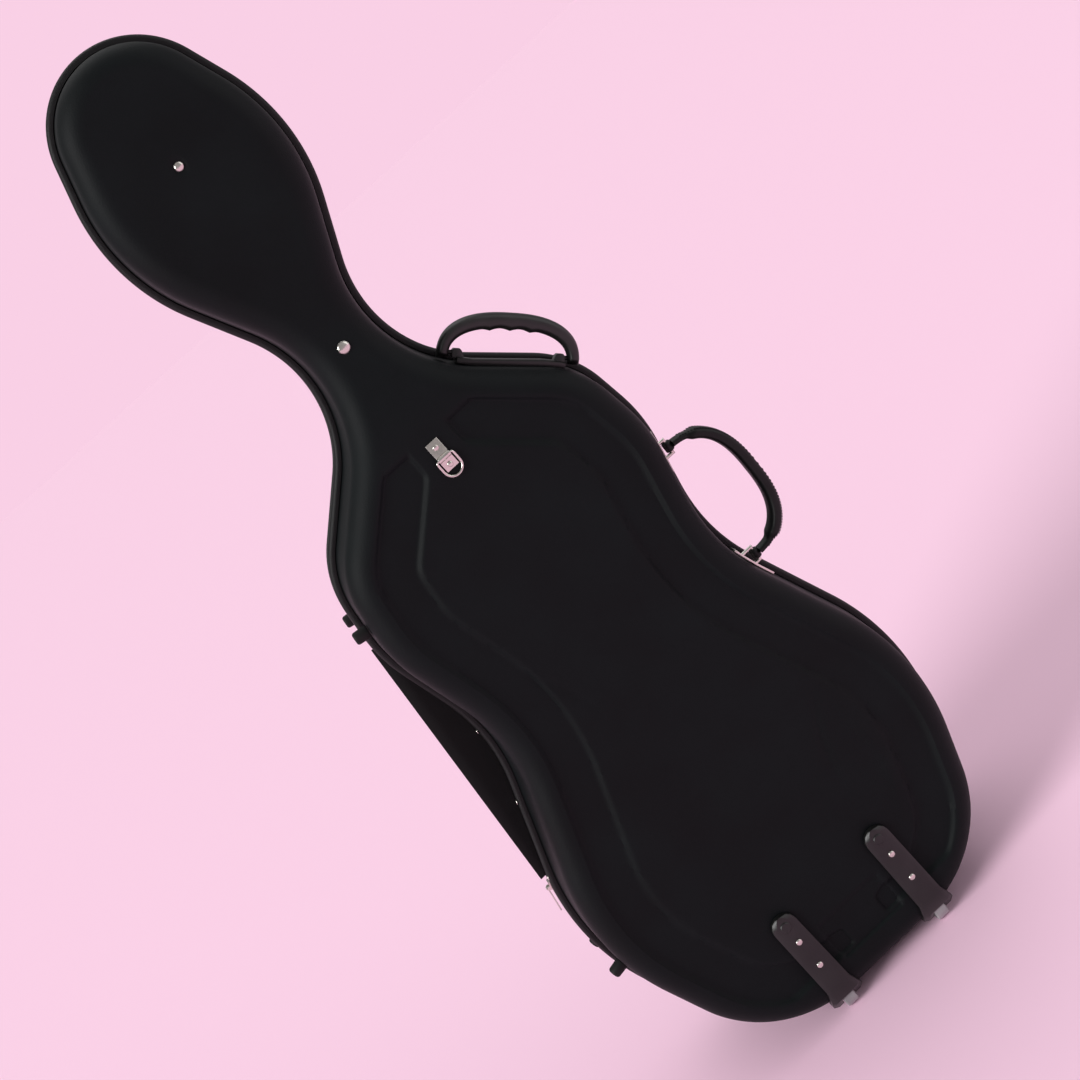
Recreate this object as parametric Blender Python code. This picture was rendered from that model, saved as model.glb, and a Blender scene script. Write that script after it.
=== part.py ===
"""Semi-hard cello case: two moulded shells zipped together round a cello-shaped outline.

The case stands upright on two wheels and two base feet. +Z is up towards the head, the back
shell faces -Y, the handles are on the +X side, and the lid hinges on the -X side.
"""

import math

import bmesh
import bpy
import numpy as np
from mathutils import Matrix, Vector

# Outline of the shell wall at the zip plane: tangent arcs up one side, heights above the base
BASE_FLAT_HALF = 0.058
BASE_CORNER_RADIUS = 0.160
LOWER_BOUT_HALF = 0.241
LOWER_BOUT_RADIUS = 0.280
LOWER_BOUT_HEIGHT = 0.249
WAIST_HALF = 0.1685
WAIST_RADIUS = 0.216
LOWER_BOUT_TO_WAIST = 0.282
UPPER_BOUT_HALF = 0.190
UPPER_BOUT_RADIUS = 0.175
WAIST_TO_UPPER_BOUT = 0.141
SHOULDER_INSET = 0.005
SHOULDER_RADIUS = 0.112
UPPER_BOUT_TO_SHOULDER = 0.038
NECK_HALF = 0.045
NECK_RADIUS = 0.150
SHOULDER_TO_NECK = 0.244
HEAD_HALF = 0.109
HEAD_RADIUS = 0.205
NECK_TO_HEAD = 0.214
HEAD_TOP_RADIUS = 0.089
HEAD_TO_TOP = 0.167

# Shells: depth from the zip plane, wall draft, rounded edge and foam thickness
BACK_DEPTH = 0.092
BACK_HEAD_DEPTH = 0.078
BACK_EDGE_RADIUS = 0.028
LID_BASE_DEPTH = 0.150
LID_BRIDGE_DEPTH = 0.168
LID_HEAD_DEPTH = 0.095
LID_EDGE_RADIUS = 0.034
BRIDGE_HEIGHT = 0.460
NECK_TAPER_START = 0.835
NECK_TAPER_LENGTH = 0.150
WALL_DRAFT = 0.004
SHELL_THICKNESS = 0.006
LINING_THICKNESS = 0.003

# Moulded channels either side of the neck strip, and the recess between the wheel brackets
CHANNEL_WIDTH = 0.052
CHANNEL_DEPTH = 0.004
CHANNEL_SLOPE = 0.003
CHANNEL_TOP = 0.828
CHANNEL_FOOT = 0.040
NECK_STRIP_HALF = 0.024
BASE_RECESS_HALF = 0.047
BASE_RECESS_LOW = 0.045
BASE_RECESS_HIGH = 0.102
BASE_RECESS_DEPTH = 0.003

# Zip rim round both shells
RIM_PROUD = 0.008
RIM_BAND = 0.009
TAPE_PROUD = 0.004
TAPE_HALF = 0.005
RIM_GRIP = 0.005

# Hinge side: web sheets inside a straight hinge line that touches both bouts
HINGE_STANDOFF = 0.002
WEB_THICKNESS = 0.0015
WEB_LOW = 0.338
WEB_HIGH = 0.676
WEB_RIVET_LOW = 0.338
WEB_RIVET_PITCH = 0.094
WEB_RIVET_RADIUS = 0.0035

# Wheels and their brackets on the back edge of the base
WHEEL_RADIUS = 0.018
WHEEL_WIDTH = 0.016
WHEEL_SPACING = 0.146
WHEEL_BACK = 0.073
WHEEL_RISE = 0.008
WHEEL_PLAY = 0.001
AXLE_RADIUS = 0.0025
CHEEK_THICKNESS = 0.004
BRACKET_TOP = 0.148
BRACKET_WIDTH = 0.032
BRACKET_FORK_WIDTH = 0.045
BRACKET_THICKNESS = 0.008
BRACKET_EDGE = 0.005
BRACKET_RIVETS = (0.108, 0.069)
BRACKET_RIVET_RADIUS = 0.0038
BOSS_RADIUS = 0.0065
BOSS_DROP = 0.015

# Feet on the hinge side and under the lid
SIDE_FOOT_RADIUS = 0.008
SIDE_FOOT_LENGTH = 0.018
SIDE_FOOT_BACK = 0.047
SIDE_FOOT_LOW = 0.216
SIDE_FOOT_HIGH = 0.706
BASE_FOOT_RADIUS = 0.014
BASE_FOOT_SPACING = 0.116
BASE_FOOT_FORWARD = 0.094

# Grip handle on the shoulder
GRIP_LOW = 0.774
GRIP_HIGH = 0.858
GRIP_BACK = 0.040
GRIP_HALF_SPAN = 0.0785
GRIP_RISE = 0.0555
GRIP_INNER_HALF = 0.066
GRIP_INNER_RISE = 0.038
GRIP_THICKNESS = 0.024
GRIP_END_THICKNESS = 0.0105
GRIP_END_SHARE = 0.05
GRIP_LEG_FOOT = 0.0035
GRIP_PIVOT_RISE = 0.010
GRIP_PIN_RADIUS = 0.0025
GRIP_POST_WIDTH = 0.010
GRIP_POST_RISE = 0.0145
GRIP_POST_HALF = 0.0053
GRIP_PLATE_THICKNESS = 0.005
GRIP_PLATE_WIDTH = 0.026
FINGER_PITCH = 0.022
FINGER_DEPTH = 0.0022

# Carry handle at the waist
CARRY_LOW = 0.460
CARRY_HIGH = 0.628
CARRY_BACK = 0.035
CARRY_REACH = 0.066
CARRY_SLEEVE = 0.014
CARRY_SLEEVE_WIDTH = 0.026
CARRY_STRAP = 0.008
CARRY_STRAP_WIDTH = 0.018
STAPLE_RISE = 0.012
STAPLE_WIRE = 0.0022
STAPLE_BAR = 0.018
STAPLE_WING = 0.017
STAPLE_PLATE_WIDTH = 0.018
STAPLE_PLATE = 0.002
EYE_WALL = 0.003
EYE_WIDTH = 0.012

# Ring bracket and rivets on the back
D_PLATE_BELOW_TAPER = 0.015
D_PLATE_TOP = NECK_TAPER_START - D_PLATE_BELOW_TAPER
D_PLATE_LENGTH = 0.0365
D_PLATE_HALF = 0.008
D_PLATE_THICKNESS = 0.0016
D_RING_BELOW_TOP = 0.021
D_RING_HEIGHT = D_PLATE_TOP - D_RING_BELOW_TOP
D_RING_HALF = 0.0110
D_RING_DROP = 0.013
D_RING_WIRE = 0.00165
D_RIVET_FROM_ENDS = (0.008, 0.0055)
D_RIVETS = (D_PLATE_TOP - D_RIVET_FROM_ENDS[0], D_PLATE_TOP - D_PLATE_LENGTH + D_RIVET_FROM_ENDS[1])
D_RIVET_RADIUS = 0.0032
NECK_RIVET_HEIGHT = 0.952
NECK_RIVET_RADIUS = 0.0068
HEAD_RIVET_HEIGHT = 1.195
HEAD_RIVET_RADIUS = 0.005
HEAD_DIMPLE_RADIUS = 0.009
HEAD_DIMPLE_DEPTH = 0.0015

# Zip slider with its pull at the low end of the web
SLIDER_HEIGHT = 0.328
SLIDER_LENGTH = 0.012
SLIDER_THICKNESS = 0.005
SLIDER_SIDE = 0.0043
SLIDER_BACK = 0.0032
PULL_LENGTH = 0.032
PULL_WIDTH = 0.005
PULL_THICKNESS = 0.0016
PULL_EYE = 0.0032
PULL_PIN = 0.0012

# Foam and webbing inside
CRADLE_LOW = 0.905
CRADLE_HIGH = 0.965
CRADLE_TOP = 0.012
CRADLE_NOTCH_HALF = 0.016
CRADLE_NOTCH_DEPTH = 0.030
NECK_STRAP_WIDTH = 0.030
NECK_STRAP_THICKNESS = 0.002
STRAP_SLACK = 0.001
PAD_THICKNESS = 0.034
PAD_TOP = 0.012
SHOULDER_PAD_LOW = 0.700
SHOULDER_PAD_HIGH = 0.800
BASE_PAD_HALF = 0.055

GAP = 0.0003
FIT = 0.0003

# Facets along each arc of the outline, from the base corner to the top of the head
ARC_STEPS = (6, 3, 5, 2, 4, 5, 3, 5)
EDGE_STEPS = 3
ROUND_SEGMENTS = 20

LOWER_Z = LOWER_BOUT_HEIGHT
WAIST_Z = LOWER_Z + LOWER_BOUT_TO_WAIST
UPPER_Z = WAIST_Z + WAIST_TO_UPPER_BOUT
SHOULDER_Z = UPPER_Z + UPPER_BOUT_TO_SHOULDER
NECK_Z = SHOULDER_Z + SHOULDER_TO_NECK
HEAD_Z = NECK_Z + NECK_TO_HEAD
TOP_Z = HEAD_Z + HEAD_TO_TOP
STANCE = WHEEL_RADIUS - WHEEL_RISE
BACK_REACH = BACK_DEPTH + GAP + BRACKET_THICKNESS
ZIP_PLANE_Y = (BACK_REACH - LID_BRIDGE_DEPTH) / 2


def arc_chain():
    """Centre x, centre z, radius and turn of each arc; turn is 1 for a bulge and -1 for a hollow."""
    shoulder_half = UPPER_BOUT_HALF - SHOULDER_INSET
    return [
        (BASE_FLAT_HALF, BASE_CORNER_RADIUS, BASE_CORNER_RADIUS, 1),
        (LOWER_BOUT_HALF - LOWER_BOUT_RADIUS, LOWER_Z, LOWER_BOUT_RADIUS, 1),
        (WAIST_HALF + WAIST_RADIUS, WAIST_Z, WAIST_RADIUS, -1),
        (UPPER_BOUT_HALF - UPPER_BOUT_RADIUS, UPPER_Z, UPPER_BOUT_RADIUS, 1),
        (shoulder_half - SHOULDER_RADIUS, SHOULDER_Z, SHOULDER_RADIUS, 1),
        (NECK_HALF + NECK_RADIUS, NECK_Z, NECK_RADIUS, -1),
        (HEAD_HALF - HEAD_RADIUS, HEAD_Z, HEAD_RADIUS, 1),
        (0.0, TOP_Z - HEAD_TOP_RADIUS, HEAD_TOP_RADIUS, 1),
    ]


def tangent_heading(first, second):
    """Heading of the straight line that leaves one arc and joins the next.

    Arcs that are too wide for a common tangent meet on the line between their centres.
    """
    across = second[0] - first[0]
    along = second[1] - first[1]
    offset = second[3] * second[2] - first[3] * first[2]
    share = offset / math.hypot(across, along)
    return math.atan2(along, across) - math.asin(min(max(share, -1.0), 1.0))


def trace_outline():
    """Points up the right side of the wall and their inward normals, as arrays of (x, z)."""
    arcs = arc_chain()
    headings = [0.0]
    headings += [tangent_heading(a, b) for a, b in zip(arcs[:-1], arcs[1:])]
    headings += [math.pi]
    points = []
    normals = []
    for (cx, cz, radius, turn), start, end, steps in zip(arcs, headings[:-1], headings[1:], ARC_STEPS):
        for angle in np.linspace(start, end, steps + 1):
            inward = np.array([-math.sin(angle), math.cos(angle)])
            points.append(np.array([cx, cz]) - turn * radius * inward)
            normals.append(inward)
    return np.array(points), np.array(normals)


def sample_at(points, normals, height, inset=0.0):
    """Wall point and normal where the line at an inset from the wall passes a height."""
    heights = points[:, 1] + inset * normals[:, 1]
    index = int(np.searchsorted(heights, height))
    index = min(max(index, 1), len(heights) - 1)
    part = (height - heights[index - 1]) / (heights[index] - heights[index - 1])
    normal = normals[index - 1] * (1 - part) + normals[index] * part
    point = points[index - 1] * (1 - part) + points[index] * part
    return index, point, normal / np.linalg.norm(normal)


def with_rows(points, normals, inset, heights):
    """The outline with a further row at each height, measured along the line at an inset."""
    for height in heights:
        index, point, normal = sample_at(points, normals, height, inset)
        points = np.insert(points, index, point, axis=0)
        normals = np.insert(normals, index, normal, axis=0)
    return points, normals


def smooth_step(value, start, length):
    part = min(max((value - start) / length, 0.0), 1.0)
    return part * part * (3 - 2 * part)


def back_depth(z):
    """Depth of the back shell at a height."""
    fall = BACK_DEPTH - BACK_HEAD_DEPTH
    return BACK_DEPTH - fall * smooth_step(z, NECK_TAPER_START, NECK_TAPER_LENGTH)


def lid_depth(z):
    """Depth of the lid at a height: fullest over the bridge, shallow over the head."""
    swell = LID_BRIDGE_DEPTH - LID_BASE_DEPTH
    fall = LID_BRIDGE_DEPTH - LID_HEAD_DEPTH
    rise = LID_BASE_DEPTH + swell * smooth_step(z, 0.0, BRIDGE_HEIGHT)
    return rise - fall * smooth_step(z, BRIDGE_HEIGHT, NECK_Z - BRIDGE_HEIGHT)


OUTLINE, INWARD = trace_outline()


def wall_at(height, inset=0.0):
    """Point and inward normal of the wall, or of a line inset from it, at a height."""
    _, point, normal = sample_at(OUTLINE, INWARD, height, inset)
    return point + inset * normal, normal


def facet_at(height, inset=0.0):
    """Point on the wall's facet at a height, with that facet's own inward normal."""
    index, point, normal = sample_at(OUTLINE, INWARD, height, inset)
    low, high = OUTLINE[index - 1:index + 1] + inset * INWARD[index - 1:index + 1]
    along = (high - low) / np.linalg.norm(high - low)
    return point + inset * normal, np.array([-along[1], along[0]])


def wall_rows(low, high):
    """Wall points and normals between two heights, with a row at each corner of the outline."""
    points, normals = with_rows(OUTLINE, INWARD, 0.0, (low, high))
    inside = (points[:, 1] > low - GAP) & (points[:, 1] < high + GAP)
    return points[inside], normals[inside]


def narrowest(low, high):
    """Least half width of the wall between two heights."""
    return min(wall_at(z)[0][0] for z in np.linspace(low, high, 13))


def draft_at(depth, edge_radius, distance):
    """How far the draft has brought the wall in at a distance from the zip plane."""
    share = (distance - TAPE_HALF) / (depth - edge_radius - TAPE_HALF)
    return WALL_DRAFT * min(max(share, 0.0), 1.0)


# Shared helpers for objects, materials and booleans

def clear_scene():
    for item in list(bpy.data.objects):
        bpy.data.objects.remove(item, do_unlink=True)


def material(name, colour, roughness, metallic=0.0):
    surface = bpy.data.materials.new(name)
    surface.use_nodes = True
    shader = surface.node_tree.nodes["Principled BSDF"]
    shader.inputs["Base Color"].default_value = (*colour, 1.0)
    shader.inputs["Roughness"].default_value = roughness
    shader.inputs["Metallic"].default_value = metallic
    return surface


def empty(name, location, parent=None):
    marker = bpy.data.objects.new(name, None)
    bpy.context.collection.objects.link(marker)
    marker.location = location
    marker.parent = parent
    return marker


def attach(item, parent):
    """Hangs an item under a pivot and leaves it where it lies."""
    item.parent = parent
    if parent is not CASE:
        item.matrix_parent_inverse = parent.matrix_basis.inverted()
    return item


def mesh_object(name, polygons, surface, parent, smooth=35.0):
    """A closed solid from loose polygons of (x, y, z) corners, welded, with its faces turned out."""
    corners = []
    faces = []
    for polygon in polygons:
        faces.append(range(len(corners), len(corners) + len(polygon)))
        corners.extend(tuple(float(value) for value in corner) for corner in polygon)
    mesh = bpy.data.meshes.new(name)
    mesh.from_pydata(corners, [], [list(face) for face in faces])
    shape = bmesh.new()
    shape.from_mesh(mesh)
    bmesh.ops.remove_doubles(shape, verts=shape.verts, dist=0.00001)
    bmesh.ops.dissolve_degenerate(shape, edges=shape.edges, dist=0.00001)
    bmesh.ops.recalc_face_normals(shape, faces=shape.faces)
    shape.to_mesh(mesh)
    shape.free()
    if surface is not None:
        mesh.materials.append(surface)
    mesh.shade_smooth()
    mesh.set_sharp_from_angle(angle=math.radians(smooth))
    item = bpy.data.objects.new(name, mesh)
    bpy.context.collection.objects.link(item)
    return attach(item, parent)


def helper(item):
    """Marks a cutter or an added body, which is not a piece of the case."""
    item.hide_render = True
    item.display_type = "WIRE"
    return item


def combine(item, other, operation):
    """Cuts a helper from an item, or joins it on, with the exact solver."""
    change = item.modifiers.new(other.name, "BOOLEAN")
    change.operation = operation
    change.object = helper(other)
    change.solver = "EXACT"
    return item


def prism(profile, place, low, high):
    """Polygons of a straight prism: place(point, distance) gives the corner at either end."""
    near = [place(point, low) for point in profile]
    far = [place(point, high) for point in profile]
    count = len(profile)
    sides = []
    for index in range(count):
        after = (index + 1) % count
        sides.append([near[index], near[after], far[after], far[index]])
    return sides + [near[::-1], far]


def ring_bands(rings, closed=True):
    """Quads between each ring of corners and the next."""
    polygons = []
    for lower, upper in zip(rings[:-1], rings[1:]):
        count = len(lower)
        for index in range(count if closed else count - 1):
            after = (index + 1) % count
            polygons.append([lower[index], lower[after], upper[after], upper[index]])
    return polygons


def revolve(profile, origin, axis, segments=ROUND_SEGMENTS):
    """Rings of a turned solid: profile gives (radius, distance along the axis)."""
    axis = Vector(axis).normalized()
    side = axis.orthogonal().normalized()
    up = axis.cross(side)
    rings = []
    for radius, distance in profile:
        ring = []
        for step in range(segments):
            angle = 2 * math.pi * step / segments
            spoke = side * math.cos(angle) + up * math.sin(angle)
            ring.append(Vector(origin) + axis * distance + spoke * radius)
        rings.append(ring)
    return rings


def turned(name, profile, origin, axis, surface, parent, segments=ROUND_SEGMENTS):
    """A turned piece with flat ends."""
    rings = revolve(profile, origin, axis, segments)
    polygons = ring_bands(rings) + [rings[0], rings[-1]]
    return mesh_object(name, polygons, surface, parent)


def hollow_turned(name, profile, origin, axis, surface, parent, segments=ROUND_SEGMENTS):
    """A turned piece round a bore: the profile closes on itself."""
    rings = revolve(profile + profile[:1], origin, axis, segments)
    return mesh_object(name, ring_bands(rings), surface, parent)


def dome(name, centre, axis, radius, height, surface, parent):
    """A rivet head: a shallow dome on a thin collar."""
    profile = [(radius, 0.0), (radius, height * 0.3)]
    profile += [(radius * math.cos(a), height * (0.3 + 0.7 * math.sin(a))) for a in (0.6, 1.1)]
    return turned(name, profile, centre, axis, surface, parent, 10)


def loop_points(points, normals, inset, height_to_y):
    """Corners of a closed loop: up the right side, then down the mirrored left side."""
    line = points + inset * normals
    right = [(x, height_to_y(z), z) for (x, _), (_, z) in zip(line, line)]
    left = [(-x, y, z) for x, y, z in reversed(right[:-1])]
    return right + left


def shell_rings(points, normals, side, depth, edge_radius, inset, thickness, steps):
    """Loops from the open edge over the wall and round the edge, all thickness inside the outside."""
    rings = [loop_points(points, normals, inset, lambda z: side * TAPE_HALF)]
    radius = edge_radius - thickness
    for step in range(steps + 1):
        angle = math.pi / 2 * step / steps
        ring_inset = WALL_DRAFT + thickness + radius * (1 - math.cos(angle))
        drop = thickness + radius * (1 - math.sin(angle))
        rings.append(loop_points(points, normals, ring_inset, lambda z, d=drop: side * (depth(z) - d)))
    return rings


def plain_face(ring):
    """Flat strips that close a loop from side to side."""
    count = (len(ring) + 1) // 2
    right = ring[:count]
    mirror = ([ring[count - 1]] + ring[count:])[::-1]
    strips = []
    for index in range(count - 1):
        strips.append([right[index], right[index + 1], mirror[index + 1], mirror[index]])
    return strips


def face_row(point, normal, face_inset):
    """Corners (x, z, level) across half the moulded face; level 1 is the floor of a channel."""
    start = point + face_inset * normal
    insets = (face_inset + CHANNEL_SLOPE, face_inset + CHANNEL_WIDTH - CHANNEL_SLOPE, face_inset + CHANNEL_WIDTH)
    limits = (0.0, NECK_STRIP_HALF + CHANNEL_SLOPE, NECK_STRIP_HALF)
    inside = CHANNEL_FOOT < start[1] < CHANNEL_TOP
    if start[1] >= CHANNEL_TOP:
        return [(start[0], start[1], 0)] + [(start[0] * share, start[1], 0) for share in (0.9, 0.5, 0.4)]
    row = [(start[0], start[1], 0)]
    for inset, limit, level in zip(insets, limits, (1, 1, 0)):
        corner = point + inset * normal
        if corner[0] < limit:
            corner = point + (point[0] - limit) / -normal[0] * normal
        row.append((corner[0], corner[1], level if inside else 0))
    return row


def moulded_face(points, normals, side, depth, face_inset):
    """The broad face with its two channels, as polygons."""
    rows = []
    for point, normal in zip(points, normals):
        rows.append(face_row(point, normal, face_inset))
    heights = points[:, 1] + face_inset * normals[:, 1]
    top = int(np.argmin(np.abs(heights - CHANNEL_TOP)))
    edge_x = rows[top][0][0]
    flat_x = (edge_x - CHANNEL_SLOPE, NECK_STRIP_HALF + CHANNEL_SLOPE, NECK_STRIP_HALF)
    rows[top] = [rows[top][0]] + [
        (x, CHANNEL_TOP - CHANNEL_SLOPE, level) for x, level in zip(flat_x, (1, 1, 0))]
    above = rows[top + 1][0]
    rows[top + 1] = [above] + [(min(x, above[0]), CHANNEL_TOP, 0) for x in flat_x]

    def corner(x, z, level):
        return (x, side * (depth(z) - CHANNEL_DEPTH * level), z)

    right = [[corner(x, z, level) for x, z, level in row] for row in rows]
    left = [[(-x, y, z) for x, y, z in row] for row in right]
    polygons = []
    for index in range(len(rows) - 1):
        for column in range(3):
            for half in (right, left):
                low, high = half[index], half[index + 1]
                polygons.append([low[column], low[column + 1], high[column + 1], high[column]])
        low, high = right[index][3], right[index + 1][3]
        polygons.append([low, high, left[index + 1][3], left[index][3]])
    polygons.append(right[0] + left[0][::-1])
    return polygons


def face_lines(face_inset):
    """The outline with the rows that the channels need across the broad face."""
    rows = (CHANNEL_FOOT, CHANNEL_FOOT + CHANNEL_SLOPE, CHANNEL_TOP - 2 * CHANNEL_SLOPE, CHANNEL_TOP,
            CHANNEL_TOP + CHANNEL_SLOPE)
    return with_rows(OUTLINE, INWARD, face_inset, rows)


def shell(name, side, depth, edge_radius, surface, parent):
    """One moulded half: outside with channels, open edge, and a smooth inside."""
    face_inset = WALL_DRAFT + edge_radius
    points, normals = face_lines(face_inset)
    outer = shell_rings(points, normals, side, depth, edge_radius, 0.0, 0.0, EDGE_STEPS)
    inner = shell_rings(points, normals, side, depth, edge_radius, SHELL_THICKNESS, SHELL_THICKNESS, 2)
    polygons = ring_bands(outer) + ring_bands(inner) + ring_bands([outer[0], inner[0]])
    polygons += moulded_face(points, normals, side, depth, face_inset)
    polygons += plain_face(inner[-1])
    return mesh_object(name, polygons, surface, parent)


def lining(name, side, depth, edge_radius, surface, parent):
    """The plush liner that follows the inside of a shell."""
    start = SHELL_THICKNESS + GAP
    end = start + LINING_THICKNESS
    points, normals = face_lines(WALL_DRAFT + edge_radius)
    outer = shell_rings(points, normals, side, depth, edge_radius, start, start, 2)
    inner = shell_rings(points, normals, side, depth, edge_radius, end, end, 2)
    polygons = ring_bands(outer) + ring_bands(inner) + ring_bands([outer[0], inner[0]])
    polygons += plain_face(outer[-1]) + plain_face(inner[-1])
    return mesh_object(name, polygons, surface, parent)


def zip_rim(name, side, surface, parent):
    """Bound edge of one shell with its half of the zip tape, as one profile carried round."""
    profile = [
        (-GAP, TAPE_HALF + RIM_BAND),
        (-RIM_PROUD + 0.002, TAPE_HALF + RIM_BAND),
        (-RIM_PROUD, TAPE_HALF + RIM_BAND - 0.003),
        (-RIM_PROUD, TAPE_HALF),
        (-TAPE_PROUD, TAPE_HALF - 0.001),
        (-TAPE_PROUD, GAP / 2),
        (RIM_GRIP, GAP / 2),
        (RIM_GRIP, TAPE_HALF - GAP),
        (-GAP, TAPE_HALF - GAP),
    ]
    rings = []
    for inset, distance in profile + profile[:1]:
        rings.append(loop_points(OUTLINE, INWARD, inset, lambda z, d=distance: side * d))
    return mesh_object(name, ring_bands(rings), surface, parent)


# Hinge line along the left side, just outside the rim at both bouts

def hinge_line():
    """Two points (x, z) of the hinge line: it clears the rim by the standoff at both bouts."""
    lower, upper = arc_chain()[1], arc_chain()[3]
    grow = RIM_PROUD + HINGE_STANDOFF
    lower = (lower[0], lower[1], lower[2] + grow, 1)
    upper = (upper[0], upper[1], upper[2] + grow, 1)
    heading = tangent_heading(lower, upper)
    outward = np.array([math.sin(heading), -math.cos(heading)])
    ends = [np.array(arc[:2]) + arc[2] * outward for arc in (lower, upper)]
    return [np.array([-x, z]) for x, z in ends]


def hinge_x(z):
    (x0, z0), (x1, z1) = hinge_line()
    return x0 + (x1 - x0) * (z - z0) / (z1 - z0)


def hinge_web(name, side, surface, parent):
    """Flat sheet between the hinge line and the rim in the waist of one half."""
    points, normals = wall_rows(WEB_LOW, WEB_HIGH)
    inner = [(-x, z) for x, z in points - (TAPE_PROUD + GAP) * normals]
    edge = [(hinge_x(z) + GAP, z) for z in (inner[-1][1], inner[0][1])]
    profile = inner + edge

    def place(point, distance):
        return (point[0], side * distance, point[1])

    return mesh_object(name, prism(profile, place, GAP / 2, GAP / 2 + WEB_THICKNESS), surface, parent)


def web_rivet(name, height, surface, parent):
    """Rivet that pins the web and the rim together, on the side wall of the rim."""
    point, normal = facet_at(height, -RIM_PROUD - GAP)
    centre = (-point[0], -TAPE_HALF - RIM_BAND * 0.45, point[1])
    return dome(name, centre, (normal[0], 0.0, -normal[1]), WEB_RIVET_RADIUS, 0.0014, surface, parent)


# Wheels, axles and brackets

def corner_centre():
    """Centre (y, z) of the rounded edge under the back face."""
    return (-(BACK_DEPTH - BACK_EDGE_RADIUS), WALL_DRAFT + BACK_EDGE_RADIUS)


def bracket_station(centre_x, y, z, out_y, out_z, width):
    """Six corners of the bracket's section: feet, edges and raised spine."""
    half = width / 2
    spine = max(half - 0.006, half * 0.5)
    corners = []
    for across, height in ((-half, GAP), (-half, BRACKET_EDGE), (-spine, BRACKET_THICKNESS),
                           (spine, BRACKET_THICKNESS), (half, BRACKET_EDGE), (half, GAP)):
        corners.append((centre_x + across, y + out_y * height, z + out_z * height))
    return corners


def wheel_bracket(name, centre_x, surface, parent):
    """Plate down the back that wraps the base edge as a fork, with a cup round the wheel."""
    stations = []
    nose = BRACKET_WIDTH / 2
    for angle in (15, 40, 65, 90):
        spread = math.radians(angle)
        z = BRACKET_TOP - nose + nose * math.cos(spread)
        stations.append(bracket_station(centre_x, -BACK_DEPTH, z, -1, 0, BRACKET_WIDTH * math.sin(spread)))
    cy, cz = corner_centre()
    stations.append(bracket_station(centre_x, -BACK_DEPTH, cz + 0.012, -1, 0, BRACKET_WIDTH + 0.002))
    for step in range(EDGE_STEPS + 1):
        share = step / EDGE_STEPS
        angle = math.pi / 2 * share
        out_y, out_z = -math.cos(angle), -math.sin(angle)
        width = BRACKET_WIDTH + 0.002 + (BRACKET_FORK_WIDTH - BRACKET_WIDTH - 0.002) * min(share * 2, 1.0)
        y = cy + BACK_EDGE_RADIUS * out_y
        z = cz + BACK_EDGE_RADIUS * out_z
        stations.append(bracket_station(centre_x, y, z, out_y, out_z, width))
    polygons = ring_bands(stations) + [stations[0], stations[-1]]
    bracket = mesh_object(name, polygons, surface, parent)

    cup_radius = WHEEL_RADIUS + 2 * WHEEL_PLAY + CHEEK_THICKNESS
    reach = BACK_EDGE_RADIUS + BRACKET_THICKNESS * 0.8
    profile = []
    for step in range(28):
        angle = 2 * math.pi * step / 28
        y = -WHEEL_BACK + cup_radius * math.cos(angle)
        z = WHEEL_RISE + cup_radius * math.sin(angle)
        away = math.hypot(y - cy, z - cz)
        if away > reach:
            y = cy + (y - cy) * reach / away
            z = cz + (z - cz) * reach / away
        profile.append((y, z))
    cheek = WHEEL_WIDTH / 2 + WHEEL_PLAY + CHEEK_THICKNESS

    def place(point, distance):
        return (centre_x + distance, point[0], point[1])

    cup = mesh_object("add_cup_" + name, prism(profile, place, -cheek, cheek), None, parent)
    combine(bracket, cup, "UNION")
    slot = wheel_cutter("cut_slot_" + name, centre_x, WHEEL_RADIUS + 2 * WHEEL_PLAY,
                        WHEEL_WIDTH / 2 + WHEEL_PLAY, parent)
    combine(bracket, slot, "DIFFERENCE")
    bore = wheel_cutter("cut_bore_" + name, centre_x, AXLE_RADIUS + FIT, cheek + 0.004, parent)
    combine(bracket, bore, "DIFFERENCE")
    boss_z = BRACKET_TOP - BOSS_DROP
    boss_face = -BACK_DEPTH - BRACKET_THICKNESS
    boss = turned("add_boss_" + name, [(BOSS_RADIUS, -0.003), (BOSS_RADIUS, 0.0008), (BOSS_RADIUS - 0.001, 0.0016)],
                  (centre_x, boss_face, boss_z), (0, -1, 0), None, parent, 16)
    combine(bracket, boss, "UNION")
    return bracket


def wheel_cutter(name, centre_x, radius, half_width, parent):
    """A plain cylinder on the wheel's axis."""
    profile = [(radius, -half_width), (radius, half_width)]
    centre = (centre_x, -WHEEL_BACK, WHEEL_RISE)
    return turned(name, profile, centre, (1, 0, 0), None, parent, 28)


def wheel(name, centre_x, surface, parent):
    """Soft wheel with rounded shoulders, hub bosses and a bore that runs on the axle."""
    half = WHEEL_WIDTH / 2
    bore = AXLE_RADIUS + FIT
    hub = AXLE_RADIUS + 0.004
    web = WHEEL_RADIUS - 0.005
    profile = [(bore, -half), (hub, -half), (hub + 0.001, -half + 0.002), (web, -half + 0.002),
               (web + 0.001, -half), (WHEEL_RADIUS - 0.002, -half), (WHEEL_RADIUS, -half + 0.003),
               (WHEEL_RADIUS, half - 0.003), (WHEEL_RADIUS - 0.002, half), (web + 0.001, half),
               (web, half - 0.002), (hub + 0.001, half - 0.002), (hub, half), (bore, half)]
    pivot = empty(name + "_axis", (centre_x, -WHEEL_BACK, WHEEL_RISE), parent)
    return hollow_turned(name, profile, pivot.location, (1, 0, 0), surface, pivot, 18)


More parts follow.
